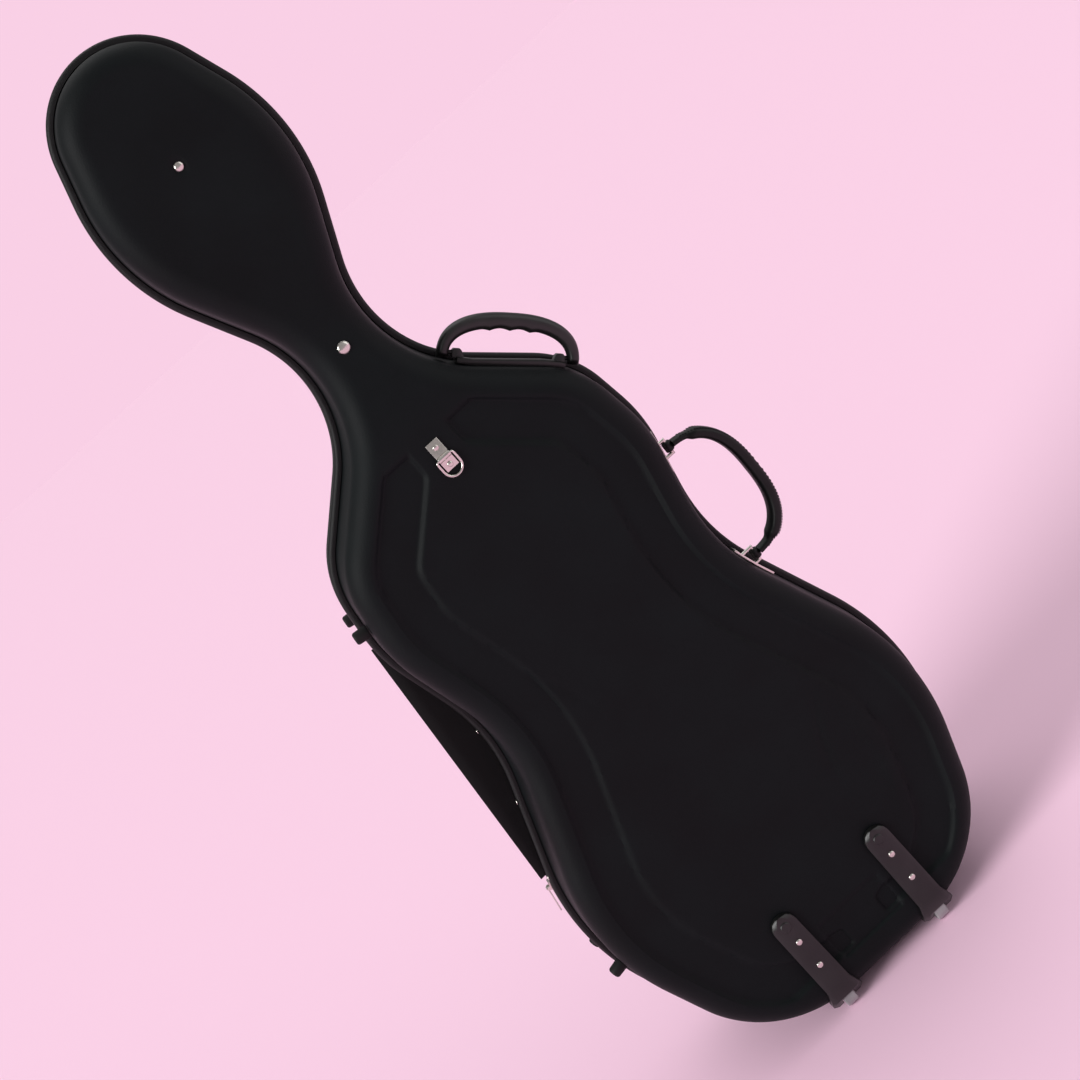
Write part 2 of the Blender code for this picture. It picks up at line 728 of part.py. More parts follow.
def wheel_axle(name, centre_x, surface, parent):
    half = WHEEL_WIDTH / 2 + WHEEL_PLAY + CHEEK_THICKNESS
    profile = [(AXLE_RADIUS, -half), (AXLE_RADIUS, half)]
    return turned(name, profile, (centre_x, -WHEEL_BACK, WHEEL_RISE), (1, 0, 0), surface, parent, 12)


# Feet

def side_foot(name, side, height, depth_here, edge_radius, surface, parent):
    """Round foot that stands out of the hinge side's wall."""
    draft = draft_at(depth_here, edge_radius, SIDE_FOOT_BACK - SIDE_FOOT_RADIUS)
    point, normal = facet_at(height, draft - GAP)
    axis = (normal[0], 0.0, -normal[1])
    centre = (-point[0], side * SIDE_FOOT_BACK, point[1])
    profile = [(SIDE_FOOT_RADIUS, 0.0), (SIDE_FOOT_RADIUS - 0.0005, SIDE_FOOT_LENGTH - 0.002),
               (SIDE_FOOT_RADIUS - 0.002, SIDE_FOOT_LENGTH)]
    return turned(name, profile, centre, axis, surface, parent, 16)


def base_foot(name, centre_x, surface, parent):
    """Rubber foot under the lid's base, level with the wheels."""
    near = BASE_FOOT_FORWARD - BASE_FOOT_RADIUS
    seat = draft_at(lid_depth(0.0), LID_EDGE_RADIUS, near) - GAP
    profile = [(BASE_FOOT_RADIUS - 0.002, -STANCE), (BASE_FOOT_RADIUS, -STANCE + 0.003),
               (BASE_FOOT_RADIUS, seat)]
    return turned(name, profile, (centre_x, BASE_FOOT_FORWARD, 0.0), (0, 0, 1), surface, parent, 18)


# Grip handle

def grip_frame():
    """Origin, along and out directions (x, z) of the grip, from its two seats on the wall."""
    draft = draft_at(BACK_DEPTH, BACK_EDGE_RADIUS, GRIP_BACK)
    upper, _ = wall_at(GRIP_HIGH, draft)
    lower, _ = wall_at(GRIP_LOW, draft)
    along = (lower - upper) / np.linalg.norm(lower - upper)
    out = np.array([-along[1], along[0]])
    return (upper + lower) / 2, along, out


def grip_point(along_distance, out_distance, y_offset=0.0):
    origin, along, out = grip_frame()
    spot = origin + along * along_distance + out * out_distance
    return Vector((spot[0], -GRIP_BACK + y_offset, spot[1]))


def grip_handle(surface, parent):
    """Moulded bow with finger ridges inside, lofted between an outer and an inner curve."""
    bow = 0.8
    rings = []
    for angle in np.linspace(0.0, math.pi, 33):
        c, s = math.cos(angle), max(math.sin(angle), 0.0)
        lean = math.copysign(abs(c) ** bow, c)
        outer = (GRIP_HALF_SPAN * lean, GRIP_LEG_FOOT + (GRIP_RISE - GRIP_LEG_FOOT) * s ** bow)
        inner_t = GRIP_INNER_HALF * lean
        ridge = 0.0
        if abs(inner_t) < FINGER_PITCH * 1.5:
            ridge = FINGER_DEPTH * (1 - abs(math.sin(math.pi * inner_t / FINGER_PITCH)))
        inner = (inner_t, GRIP_LEG_FOOT + (GRIP_INNER_RISE - GRIP_LEG_FOOT) * s ** bow - ridge)
        thickness = GRIP_THICKNESS * (0.8 + 0.2 * s) if s > GRIP_END_SHARE else GRIP_END_THICKNESS
        ring = []
        for step in range(10):
            turn = 2 * math.pi * step / 10
            share = 0.5 + 0.5 * math.cos(turn)
            t = inner[0] + (outer[0] - inner[0]) * share
            n = inner[1] + (outer[1] - inner[1]) * share
            ring.append(grip_point(t, n, thickness / 2 * math.sin(turn)))
        rings.append(ring)
    polygons = ring_bands(rings) + [rings[0], rings[-1]]
    bow_piece = mesh_object("grip_handle", polygons, surface, parent)
    for sign, end in ((-1, "high"), (1, "low")):
        origin = grip_point(sign * (GRIP_INNER_HALF - 0.004), GRIP_PIVOT_RISE)
        depth = 0.0125
        axis = grip_point(sign, 0.0) - grip_point(0.0, 0.0)
        cutter = turned("cut_grip_" + end, [(GRIP_PIN_RADIUS + FIT, 0.0), (GRIP_PIN_RADIUS + FIT, depth)],
                        origin, axis, None, parent, 14)
        combine(bow_piece, cutter, "DIFFERENCE")
    return bow_piece


def grip_base(surface, parent):
    """Base plate that follows the shoulder, with two posts and their pivot stubs."""
    half = GRIP_PLATE_WIDTH / 2
    near = draft_at(BACK_DEPTH, BACK_EDGE_RADIUS, GRIP_BACK - half) - GAP
    far = draft_at(BACK_DEPTH, BACK_EDGE_RADIUS, GRIP_BACK + half) - GAP
    rings = []
    for point, normal in zip(*wall_rows(GRIP_LOW, GRIP_HIGH)):
        ring = []
        for inset, y in ((near, -GRIP_BACK + half), (near - GRIP_PLATE_THICKNESS + 0.0015, -GRIP_BACK + half),
                         (near - GRIP_PLATE_THICKNESS, -GRIP_BACK + half - 0.003),
                         (near - GRIP_PLATE_THICKNESS, -GRIP_BACK - half + 0.003),
                         (near - GRIP_PLATE_THICKNESS + 0.0015, -GRIP_BACK - half), (far, -GRIP_BACK - half)):
            spot = point + inset * normal
            ring.append((spot[0], y, spot[1]))
        rings.append(ring)
    plate = mesh_object("grip_base", ring_bands(rings) + [rings[0], rings[-1]], surface, parent)
    face = GRIP_INNER_HALF - 0.0045
    for sign, end in ((-1, "high"), (1, "low")):
        low_n = 0.0045
        profile = [(face, low_n), (face, GRIP_POST_RISE - 0.002), (face - 0.002, GRIP_POST_RISE),
                   (face - GRIP_POST_WIDTH + 0.002, GRIP_POST_RISE),
                   (face - GRIP_POST_WIDTH, GRIP_POST_RISE - 0.002), (face - GRIP_POST_WIDTH - 0.003, low_n)]

        def place(point, distance, sign=sign):
            return grip_point(sign * point[0], point[1], distance)

        post = mesh_object("add_post_" + end, prism(profile, place, -GRIP_POST_HALF, GRIP_POST_HALF), None, parent)
        combine(plate, post, "UNION")
        origin = grip_point(sign * (face - 0.002), GRIP_PIVOT_RISE)
        axis = grip_point(sign, 0.0) - grip_point(0.0, 0.0)
        stub = turned("add_stub_" + end, [(GRIP_PIN_RADIUS, 0.0), (GRIP_PIN_RADIUS, 0.011)],
                      origin, axis, None, parent, 14)
        combine(plate, stub, "UNION")
    return plate


# Carry handle

def carry_seat(height):
    """Point on the hinge line of the carry handle beside the wall at a height."""
    draft = draft_at(BACK_DEPTH, BACK_EDGE_RADIUS, CARRY_BACK)
    point, normal = wall_at(height, draft)
    return point - normal * STAPLE_RISE


def carry_frame():
    low, high = carry_seat(CARRY_LOW), carry_seat(CARRY_HIGH)
    along = (high - low) / np.linalg.norm(high - low)
    return low, high, along, np.array([along[1], -along[0]])


def carry_handle(surface, parent):
    """Padded bow with narrower strap ends, each with an eye round its staple."""
    low, high, along, out = carry_frame()
    span = np.linalg.norm(high - low)
    middle = (low + high) / 2
    rings = []
    for angle in np.linspace(0.06, math.pi - 0.06, 25):
        c, s = math.cos(angle), math.sin(angle)
        padded = smooth_step(s, 0.30, 0.18)
        half = (CARRY_STRAP + (CARRY_SLEEVE - CARRY_STRAP) * padded) / 2
        width = (CARRY_STRAP_WIDTH + (CARRY_SLEEVE_WIDTH - CARRY_STRAP_WIDTH) * padded) / 2
        spread = -math.copysign(abs(c) ** 0.75, c) * span / 2
        spot = middle + along * spread + out * (CARRY_REACH - CARRY_SLEEVE / 2) * s ** 0.85
        radial = along * (-c) * 0.5 + out * s
        radial = radial / np.linalg.norm(radial)
        ring = []
        for step in range(10):
            turn = 2 * math.pi * step / 10
            place = spot + radial * half * math.cos(turn)
            ring.append((place[0], -CARRY_BACK + width * math.sin(turn), place[1]))
        rings.append(ring)
    handle = mesh_object("carry_handle", ring_bands(rings) + [rings[0], rings[-1]], surface, parent)
    axis = (along[0], 0.0, along[1])
    for end, seat in (("low", low), ("high", high)):
        centre = (seat[0], -CARRY_BACK, seat[1])
        radius = STAPLE_WIRE + FIT + EYE_WALL
        eye = turned("add_eye_" + end, [(radius, -EYE_WIDTH / 2), (radius, EYE_WIDTH / 2)],
                     centre, axis, None, parent, 16)
        combine(handle, eye, "UNION")
    for end, seat in (("low", low), ("high", high)):
        centre = (seat[0], -CARRY_BACK, seat[1])
        bore = turned("cut_eye_" + end, [(STAPLE_WIRE + FIT, -EYE_WIDTH), (STAPLE_WIRE + FIT, EYE_WIDTH)],
                      centre, axis, None, parent, 12)
        combine(handle, bore, "DIFFERENCE")
    return handle


def staple(name, height, surface, parent):
    """Chrome staple: two wing plates on the wall and a bar along the carry handle's hinge line."""
    _, _, along, _ = carry_frame()
    seat = carry_seat(height)
    half = STAPLE_PLATE_WIDTH / 2
    near = draft_at(BACK_DEPTH, BACK_EDGE_RADIUS, CARRY_BACK - half) - GAP
    far = draft_at(BACK_DEPTH, BACK_EDGE_RADIUS, CARRY_BACK + half) - GAP
    reach = STAPLE_BAR / 2 + STAPLE_WING
    rings = []
    for point, normal in zip(*wall_rows(height - reach, height + reach)):
        ring = []
        for inset, y in ((near, -CARRY_BACK + half), (near - STAPLE_PLATE, -CARRY_BACK + half),
                         (near - STAPLE_PLATE, -CARRY_BACK - half), (far, -CARRY_BACK - half)):
            spot = point + inset * normal
            ring.append((spot[0], y, spot[1]))
        rings.append(ring)
    plate = mesh_object(name, ring_bands(rings) + [rings[0], rings[-1]], surface, parent)
    bar = [seat - along * STAPLE_BAR / 2, seat + along * STAPLE_BAR / 2]
    feet = [wall_at(end[1], near - STAPLE_PLATE / 2)[0] for end in bar]
    path = [feet[0], bar[0], bar[1], feet[1]]
    wire = planar_rod("add_bar_" + name, path, -CARRY_BACK, STAPLE_WIRE, parent)
    return combine(plate, wire, "UNION")


def planar_rod(name, path, y, radius, parent, segments=10):
    """Round rod along a path of (x, z) points in a plane of constant y, mitred at its bends."""
    path = [np.array(point) for point in path]
    rings = []
    for index, point in enumerate(path):
        before = path[max(index - 1, 0)]
        after = path[min(index + 1, len(path) - 1)]
        first = (point - before) if index else (after - point)
        last = (after - point) if index < len(path) - 1 else (point - before)
        first, last = first / np.linalg.norm(first), last / np.linalg.norm(last)
        along = (first + last) / np.linalg.norm(first + last)
        across = np.array([-along[1], along[0]])
        stretch = 1 / max(abs(float(np.dot(along, first))), 0.4)
        ring = []
        for step in range(segments):
            turn = 2 * math.pi * step / segments
            spot = point + across * radius * stretch * math.cos(turn)
            ring.append((spot[0], y + radius * math.sin(turn), spot[1]))
        rings.append(ring)
    return mesh_object(name, ring_bands(rings) + [rings[0], rings[-1]], None, parent)


# Ring bracket on the neck strip

def ring_axis_y():
    return -BACK_DEPTH - GAP - D_RING_WIRE - 0.0006


def d_ring_plate(surface, parent):
    """Strap plate with a folded tunnel over the ring's bar."""
    face = -BACK_DEPTH - GAP
    axis_y = ring_axis_y()
    tunnel = D_RING_WIRE + FIT
    cover = tunnel + D_PLATE_THICKNESS
    bottom = D_PLATE_TOP - D_PLATE_LENGTH
    front = face - D_PLATE_THICKNESS
    profile = [(face, bottom), (front, bottom), (front, D_RING_HEIGHT - cover)]
    for step in range(9):
        angle = -math.pi / 2 + math.pi * step / 8
        profile.append((axis_y - cover * math.cos(angle), D_RING_HEIGHT + cover * math.sin(angle)))
    profile += [(front, D_RING_HEIGHT + cover), (front, D_PLATE_TOP), (face, D_PLATE_TOP),
                (face, D_RING_HEIGHT + tunnel)]
    for step in range(9):
        angle = math.pi / 2 - math.pi * step / 8
        profile.append((axis_y - tunnel * math.cos(angle), D_RING_HEIGHT + tunnel * math.sin(angle)))
    profile.append((face, D_RING_HEIGHT - tunnel))

    def place(point, distance):
        return (distance, point[0], point[1])

    return mesh_object("d_ring_plate", prism(profile, place, -D_PLATE_HALF, D_PLATE_HALF), surface, parent)


def d_ring(surface, parent):
    """Closed ring of round wire: a straight bar, two legs and a half-round foot."""
    pivot = empty("d_ring_axis", (0.0, ring_axis_y(), D_RING_HEIGHT), parent)
    bend = 0.0022
    path = []
    for sign in (-1, 1):
        corner = [(sign * (D_RING_HALF - bend + bend * math.sin(a)), -bend + bend * math.cos(a))
                  for a in (0.0, math.pi / 4, math.pi / 2)]
        path += corner[::-1] if sign < 0 else corner
    for step in range(13):
        angle = math.pi * step / 12
        path.append((D_RING_HALF * math.cos(angle), -D_RING_DROP - D_RING_HALF * math.sin(angle)))
    path = [np.array(point) for point in path]
    rings = []
    for index, point in enumerate(path):
        before, after = path[index - 1], path[(index + 1) % len(path)]
        along = (after - before) / np.linalg.norm(after - before)
        across = np.array([-along[1], along[0]])
        ring = []
        for step in range(8):
            turn = 2 * math.pi * step / 8
            spot = point + across * D_RING_WIRE * math.cos(turn)
            y = ring_axis_y() + D_RING_WIRE * math.sin(turn)
            ring.append((spot[0], y, D_RING_HEIGHT + spot[1]))
        rings.append(ring)
    return mesh_object("d_ring", ring_bands(rings + rings[:1]), surface, pivot)


# Zip slider and pull

def slider_frame():
    """Centre of the slider's seat on the rim, and its outward direction, on the hinge side."""
    point, normal = wall_at(SLIDER_HEIGHT, -RIM_PROUD - GAP)
    return Vector((-point[0], -SLIDER_BACK, point[1])), Vector((normal[0], 0.0, -normal[1]))


def zip_slider(surface, parent):
    """Slider body with a raised bridge that holds the pull's pin."""
    seat, out = slider_frame()
    along = Vector((-out.z, 0.0, out.x))
    half = SLIDER_LENGTH / 2
    profile = [(-half, 0.0), (half, 0.0), (half, 0.002), (half - 0.002, SLIDER_THICKNESS - 0.0015),
               (-half + 0.001, SLIDER_THICKNESS - 0.0015), (-half, 0.002)]

    def place(point, distance):
        return seat + along * point[0] + out * point[1] + Vector((0, distance, 0))

    body = mesh_object("zip_slider", prism(profile, place, -SLIDER_SIDE, SLIDER_SIDE), surface, parent)
    pin_at = pull_axis()
    lug = [(-0.0022, 0.002), (-0.0022, SLIDER_THICKNESS + 0.0005), (0.0, SLIDER_THICKNESS + 0.0012),
           (0.0022, SLIDER_THICKNESS + 0.0005), (0.0022, 0.002)]
    centre = pin_at - out * (SLIDER_THICKNESS - PULL_PIN)
    for sign, end in ((-1, "back"), (1, "front")):
        def lug_place(point, distance, sign=sign):
            return centre + along * point[0] + out * (point[1] - 0.0015) + Vector((0, sign * distance, 0))

        ear = mesh_object("add_lug_" + end, prism(lug, lug_place, PULL_WIDTH / 2 + GAP, SLIDER_SIDE), None, parent)
        combine(body, ear, "UNION")
    pin = turned("add_pin", [(PULL_PIN, -SLIDER_SIDE + 0.0003), (PULL_PIN, SLIDER_SIDE - 0.0003)],
                 pin_at, (0, 1, 0), None, parent, 10)
    return combine(body, pin, "UNION")


def pull_axis():
    """Axis point of the pull: over the lower half of the slider."""
    seat, out = slider_frame()
    along = Vector((-out.z, 0.0, out.x))
    if along.z > 0:
        along = -along
    return seat + along * (SLIDER_LENGTH * 0.25) + out * (SLIDER_THICKNESS + PULL_EYE - 0.0022)


def zip_pull(surface, parent):
    """Thin pull tab that hangs from the slider's pin."""
    pin_at = pull_axis()
    pivot = empty("zip_pull_axis", pin_at, parent)
    tip_spot, _ = wall_at(SLIDER_HEIGHT - PULL_LENGTH, -RIM_PROUD)
    tip = Vector((-tip_spot[0] - 0.005, pin_at.y, tip_spot[1]))
    down = (tip - pin_at).normalized()
    side = Vector((down.z, 0.0, -down.x))
    half_t = PULL_THICKNESS / 2
    eye = hollow_turned("zip_pull", [(PULL_PIN + 0.0002, -PULL_WIDTH / 2), (PULL_EYE - 0.0010, -PULL_WIDTH / 2),
                                     (PULL_EYE - 0.0010, PULL_WIDTH / 2), (PULL_PIN + 0.0002, PULL_WIDTH / 2)],
                        pin_at, (0, 1, 0), surface, pivot, 12)
    outline = [(0.0018, 0.35), (0.010, 0.3), (0.014, 0.5), (PULL_LENGTH - 0.003, 0.5),
               (PULL_LENGTH, 0.32)]
    polygon = [(d, w * PULL_WIDTH) for d, w in outline] + [(d, -w * PULL_WIDTH) for d, w in reversed(outline)]

    def place(point, distance):
        return pin_at + down * point[0] + side * distance + Vector((0, point[1], 0))

    blade = mesh_object("add_blade", prism(polygon, place, -half_t, half_t), None, pivot)
    return combine(eye, blade, "UNION")


# Foam and webbing inside the back shell

def inside_inset():
    return SHELL_THICKNESS + 2 * GAP + LINING_THICKNESS


def floor_y(z):
    return -(back_depth(z) - inside_inset())


def neck_cradle(surface, parent):
    """Foam block with a notch for the cello's neck."""
    half = narrowest(CRADLE_LOW, CRADLE_HIGH) - WALL_DRAFT - inside_inset() - GAP
    floor = floor_y(CRADLE_HIGH)
    bevel = BACK_EDGE_RADIUS - inside_inset()
    notch = CRADLE_NOTCH_HALF
    bottom = -CRADLE_TOP - CRADLE_NOTCH_DEPTH
    profile = [(-half + bevel, floor), (half - bevel, floor), (half, floor + bevel), (half, -CRADLE_TOP),
               (notch, -CRADLE_TOP), (notch * 0.9, bottom + 0.008), (notch * 0.5, bottom),
               (-notch * 0.5, bottom), (-notch * 0.9, bottom + 0.008), (-notch, -CRADLE_TOP),
               (-half, -CRADLE_TOP), (-half, floor + bevel)]

    def place(point, distance):
        return (point[0], point[1], distance)

    return mesh_object("neck_cradle", prism(profile, place, CRADLE_LOW, CRADLE_HIGH), surface, parent)


def neck_strap(surface, parent):
    """Webbing strap that closes over the notch."""
    half = narrowest(CRADLE_LOW, CRADLE_HIGH) - WALL_DRAFT - inside_inset() - 2 * GAP - STRAP_SLACK
    base = -CRADLE_TOP + GAP
    top = base + NECK_STRAP_THICKNESS
    notch = CRADLE_NOTCH_HALF
    lift = 0.003
    profile = [(-half, base), (-notch, base), (0.0, base + lift), (notch, base), (half, base),
               (half, top), (notch, top), (0.0, top + lift), (-notch, top), (-half, top)]
    middle = (CRADLE_LOW + CRADLE_HIGH) / 2

    def place(point, distance):
        return (point[0], point[1], middle + distance)

    reach = NECK_STRAP_WIDTH / 2
    return mesh_object("neck_strap", prism(profile, place, -reach, reach), surface, parent)


def pad_profile():
    """Foam pad section (inset, y) that sits in the corner of the lined back shell."""
    start = inside_inset() + GAP
    floor = BACK_DEPTH - inside_inset() - GAP
    radius = BACK_EDGE_RADIUS - inside_inset()
    low_inset = WALL_DRAFT + start
    return [(start, -PAD_TOP), (low_inset, -(BACK_DEPTH - BACK_EDGE_RADIUS)),
            (low_inset + radius, -floor), (start + PAD_THICKNESS + 0.006, -floor),
            (start + PAD_THICKNESS, -PAD_TOP - 0.010), (start + PAD_THICKNESS - 0.008, -PAD_TOP)]


def shoulder_pad(name, sign, surface, parent):
    """Pad that fills the shoulder of the back shell on one side."""
    rings = []
    for z in np.linspace(SHOULDER_PAD_LOW, SHOULDER_PAD_HIGH, 7):
        _, point, normal = sample_at(OUTLINE, INWARD, z, 0.0)
        ring = []
        for inset, y in pad_profile():
            spot = point + inset * normal
            ring.append((sign * spot[0], y, spot[1]))
        rings.append(ring)
    return mesh_object(name, ring_bands(rings) + [rings[0], rings[-1]], surface, parent)


def base_pad(surface, parent):
    """Foam block along the base that the cello's lower edge rests against."""
    profile = [(y, inset) for inset, y in pad_profile()]

    def place(point, distance):
        return (distance, point[0], point[1])

    return mesh_object("base_pad", prism(profile, place, -BASE_PAD_HALF, BASE_PAD_HALF), surface, parent)


def base_recess_cutter(parent):
    """Shallow tapered recess between the wheel brackets."""
    face = -BACK_DEPTH

    def ring(y, grow):
        low, high = BASE_RECESS_LOW - grow, BASE_RECESS_HIGH + grow
        half = BASE_RECESS_HALF + grow
        return [(-half, y, low), (half, y, low), (half, y, high), (-half, y, high)]

    rings = [ring(face + BASE_RECESS_DEPTH, 0.0), ring(face - 0.001, 0.003)]
    return mesh_object("cut_base_recess", ring_bands(rings) + [rings[0], rings[-1]], None, parent)


def face_seat(z):
    """Depth of the back face at a height on its middle line, and the outward direction there."""
    face_inset = WALL_DRAFT + BACK_EDGE_RADIUS
    points, normals = face_lines(face_inset)
    heights = points[:, 1] + face_inset * normals[:, 1]
    index = int(np.searchsorted(heights, z))
    low, high = heights[index - 1], heights[index]
    slope = (back_depth(high) - back_depth(low)) / (high - low)
    return back_depth(low) + slope * (z - low), Vector((0.0, -1.0, -slope)).normalized()


def face_rivet(name, z, radius, height, sink, surface, parent):
    """Domed rivet on the back face."""
    depth, out = face_seat(z)
    centre = Vector((0.0, sink - depth, z)) + out * GAP
    return dome(name, centre, out, radius, height, surface, parent)


clear_scene()

FABRIC = material("case_fabric", (0.012, 0.014, 0.015), 0.75)
PLUSH = material("lining_plush", (0.020, 0.020, 0.022), 0.95)
BINDING = material("rim_binding", (0.010, 0.010, 0.011), 0.55)
WEBBING = material("webbing", (0.012, 0.012, 0.013), 0.8)
MOULDED = material("black_plastic", (0.020, 0.020, 0.019), 0.45)
RUBBER = material("black_rubber", (0.015, 0.015, 0.015), 0.7)
NICKEL = material("nickel", (0.72, 0.69, 0.64), 0.25, 1.0)
WHEEL_GREY = material("wheel_grey", (0.12, 0.13, 0.13), 0.4)
PADDED = material("handle_leatherette", (0.014, 0.015, 0.015), 0.5)
FOAM = material("foam_pad", (0.03, 0.03, 0.032), 0.9)

CASE = empty("case_frame", (0.0, ZIP_PLANE_Y, STANCE))

# Back shell and what it carries
back = shell("back_shell", -1, back_depth, BACK_EDGE_RADIUS, FABRIC, CASE)
back_liner = lining("back_lining", -1, back_depth, BACK_EDGE_RADIUS, PLUSH, CASE)
zip_rim("back_zip_rim", -1, BINDING, CASE)
hinge_web("back_hinge_web", -1, WEBBING, CASE)
for number in range(3):
    web_rivet(f"web_rivet_{number + 1}", WEB_RIVET_LOW + number * WEB_RIVET_PITCH, NICKEL, CASE)

combine(back, base_recess_cutter(CASE), "DIFFERENCE")
dimple_at = Vector((0.0, -back_depth(HEAD_RIVET_HEIGHT), HEAD_RIVET_HEIGHT))
dimple = turned("cut_head_dimple", [(HEAD_DIMPLE_RADIUS - 0.003, -HEAD_DIMPLE_DEPTH), (HEAD_DIMPLE_RADIUS, 0.0),
                                    (HEAD_DIMPLE_RADIUS, 0.002)], dimple_at, (0, -1, 0), None, CASE, 16)
combine(back, dimple, "DIFFERENCE")

for side_name, sign in (("left", -1), ("right", 1)):
    centre_x = sign * WHEEL_SPACING / 2
    wheel_bracket("wheel_bracket_" + side_name, centre_x, MOULDED, CASE)
    wheel_axle("wheel_axle_" + side_name, centre_x, NICKEL, CASE)
    wheel("wheel_" + side_name, centre_x, WHEEL_GREY, CASE)
    cup_radius = WHEEL_RADIUS + 2 * WHEEL_PLAY + CHEEK_THICKNESS + GAP
    cup_half = WHEEL_WIDTH / 2 + WHEEL_PLAY + CHEEK_THICKNESS + GAP
    for item, grow in ((back, 0.0), (back_liner, GAP)):
        well = wheel_cutter(f"cut_well_{side_name}_{item.name}", centre_x, cup_radius + grow, cup_half + grow, CASE)
        combine(item, well, "DIFFERENCE")
    for number, height in enumerate(BRACKET_RIVETS):
        face = (centre_x, -BACK_DEPTH - BRACKET_THICKNESS - GAP, height)
        dome(f"bracket_rivet_{side_name}_{number + 1}", face, (0, -1, 0), BRACKET_RIVET_RADIUS, 0.0018, NICKEL, CASE)

side_foot("side_foot_back_low", -1, SIDE_FOOT_LOW, BACK_DEPTH, BACK_EDGE_RADIUS, RUBBER, CASE)
side_foot("side_foot_back_high", -1, SIDE_FOOT_HIGH, BACK_DEPTH, BACK_EDGE_RADIUS, RUBBER, CASE)

grip_base(MOULDED, CASE)
staple("carry_staple_low", CARRY_LOW, NICKEL, CASE)
staple("carry_staple_high", CARRY_HIGH, NICKEL, CASE)
d_ring_plate(NICKEL, CASE)
d_ring(NICKEL, CASE)
for number, height in enumerate(D_RIVETS):
    face = (0.0, -BACK_DEPTH - 2 * GAP - D_PLATE_THICKNESS, height)
    dome(f"d_ring_rivet_{number + 1}", face, (0, -1, 0), D_RIVET_RADIUS, 0.0016, NICKEL, CASE)
face_rivet("neck_rivet", NECK_RIVET_HEIGHT, NECK_RIVET_RADIUS, 0.003, 0.0, NICKEL, CASE)
face_rivet("head_rivet", HEAD_RIVET_HEIGHT, HEAD_RIVET_RADIUS, 0.0025, HEAD_DIMPLE_DEPTH, NICKEL, CASE)
zip_slider(NICKEL, CASE)
zip_pull(NICKEL, CASE)

neck_cradle(FOAM, CASE)
neck_strap(WEBBING, CASE)
shoulder_pad("shoulder_pad_left", -1, FOAM, CASE)
shoulder_pad("shoulder_pad_right", 1, FOAM, CASE)
base_pad(FOAM, CASE)

# Handles, each on the line it swings about
grip_pivot = empty("grip_pivot", grip_point(0.0, GRIP_PIVOT_RISE), CASE)
grip_handle(MOULDED, grip_pivot)
carry_low, carry_high, _, _ = carry_frame()
carry_middle = (carry_low + carry_high) / 2
carry_pivot = empty("carry_pivot", (carry_middle[0], -CARRY_BACK, carry_middle[1]), CASE)
carry_handle(PADDED, carry_pivot)

# Lid, on the hinge line
lid_low, _ = hinge_line()
lid_pivot = empty("lid_hinge", (lid_low[0], 0.0, lid_low[1]), CASE)
shell("front_shell", 1, lid_depth, LID_EDGE_RADIUS, FABRIC, lid_pivot)
lining("front_lining", 1, lid_depth, LID_EDGE_RADIUS, PLUSH, lid_pivot)
zip_rim("front_zip_rim", 1, BINDING, lid_pivot)
hinge_web("front_hinge_web", 1, WEBBING, lid_pivot)
side_foot("side_foot_front_low", 1, SIDE_FOOT_LOW, lid_depth(SIDE_FOOT_LOW), LID_EDGE_RADIUS, RUBBER, lid_pivot)
side_foot("side_foot_front_high", 1, SIDE_FOOT_HIGH, lid_depth(SIDE_FOOT_HIGH), LID_EDGE_RADIUS, RUBBER, lid_pivot)
for side_name, sign in (("left", -1), ("right", 1)):
    base_foot("base_foot_" + side_name, sign * BASE_FOOT_SPACING / 2, RUBBER, lid_pivot)
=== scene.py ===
"""Looks of the semi-hard cello case: fine shells, rims, zip teeth, handles, wheels and finishes."""

import math

import bmesh
import bpy
import numpy as np
from mathutils import Matrix, Vector


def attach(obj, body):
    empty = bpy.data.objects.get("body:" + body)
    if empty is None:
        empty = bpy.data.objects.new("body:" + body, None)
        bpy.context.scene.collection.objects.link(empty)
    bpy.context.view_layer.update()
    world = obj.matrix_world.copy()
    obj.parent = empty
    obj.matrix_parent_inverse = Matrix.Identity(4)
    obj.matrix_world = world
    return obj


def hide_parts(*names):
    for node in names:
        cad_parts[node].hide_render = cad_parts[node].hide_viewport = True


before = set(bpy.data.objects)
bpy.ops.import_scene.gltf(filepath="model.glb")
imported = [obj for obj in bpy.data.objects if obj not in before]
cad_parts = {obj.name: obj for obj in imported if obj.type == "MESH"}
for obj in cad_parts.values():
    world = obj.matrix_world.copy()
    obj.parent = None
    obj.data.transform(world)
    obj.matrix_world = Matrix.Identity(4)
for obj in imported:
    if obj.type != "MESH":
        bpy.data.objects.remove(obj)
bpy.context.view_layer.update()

# The case stands on its wheels: its zip plane and its base plane in the frame
STANCE = 0.010
ZIP_Y = -0.03385

# Outline at the zip plane: centre x, centre z, radius and turn of each tangent arc, from the base up
ARCS = (
    (0.058, 0.160, 0.160, 1),
    (-0.039, 0.249, 0.280, 1),
    (0.3845, 0.531, 0.216, -1),
    (0.015, 0.672, 0.175, 1),
    (0.073, 0.710, 0.112, 1),
    (0.195, 0.954, 0.150, -1),
    (-0.096, 1.168, 0.205, 1),
    (0.0, 1.246, 0.089, 1),
)
BASE_HALF = 0.058
OUTLINE_STEP = 0.005
FACE_COLUMNS = 101
ARC_STEPS = 40
OUTER_EDGE_STEPS = 12
INNER_EDGE_STEPS = 8
WELD = 0.00002

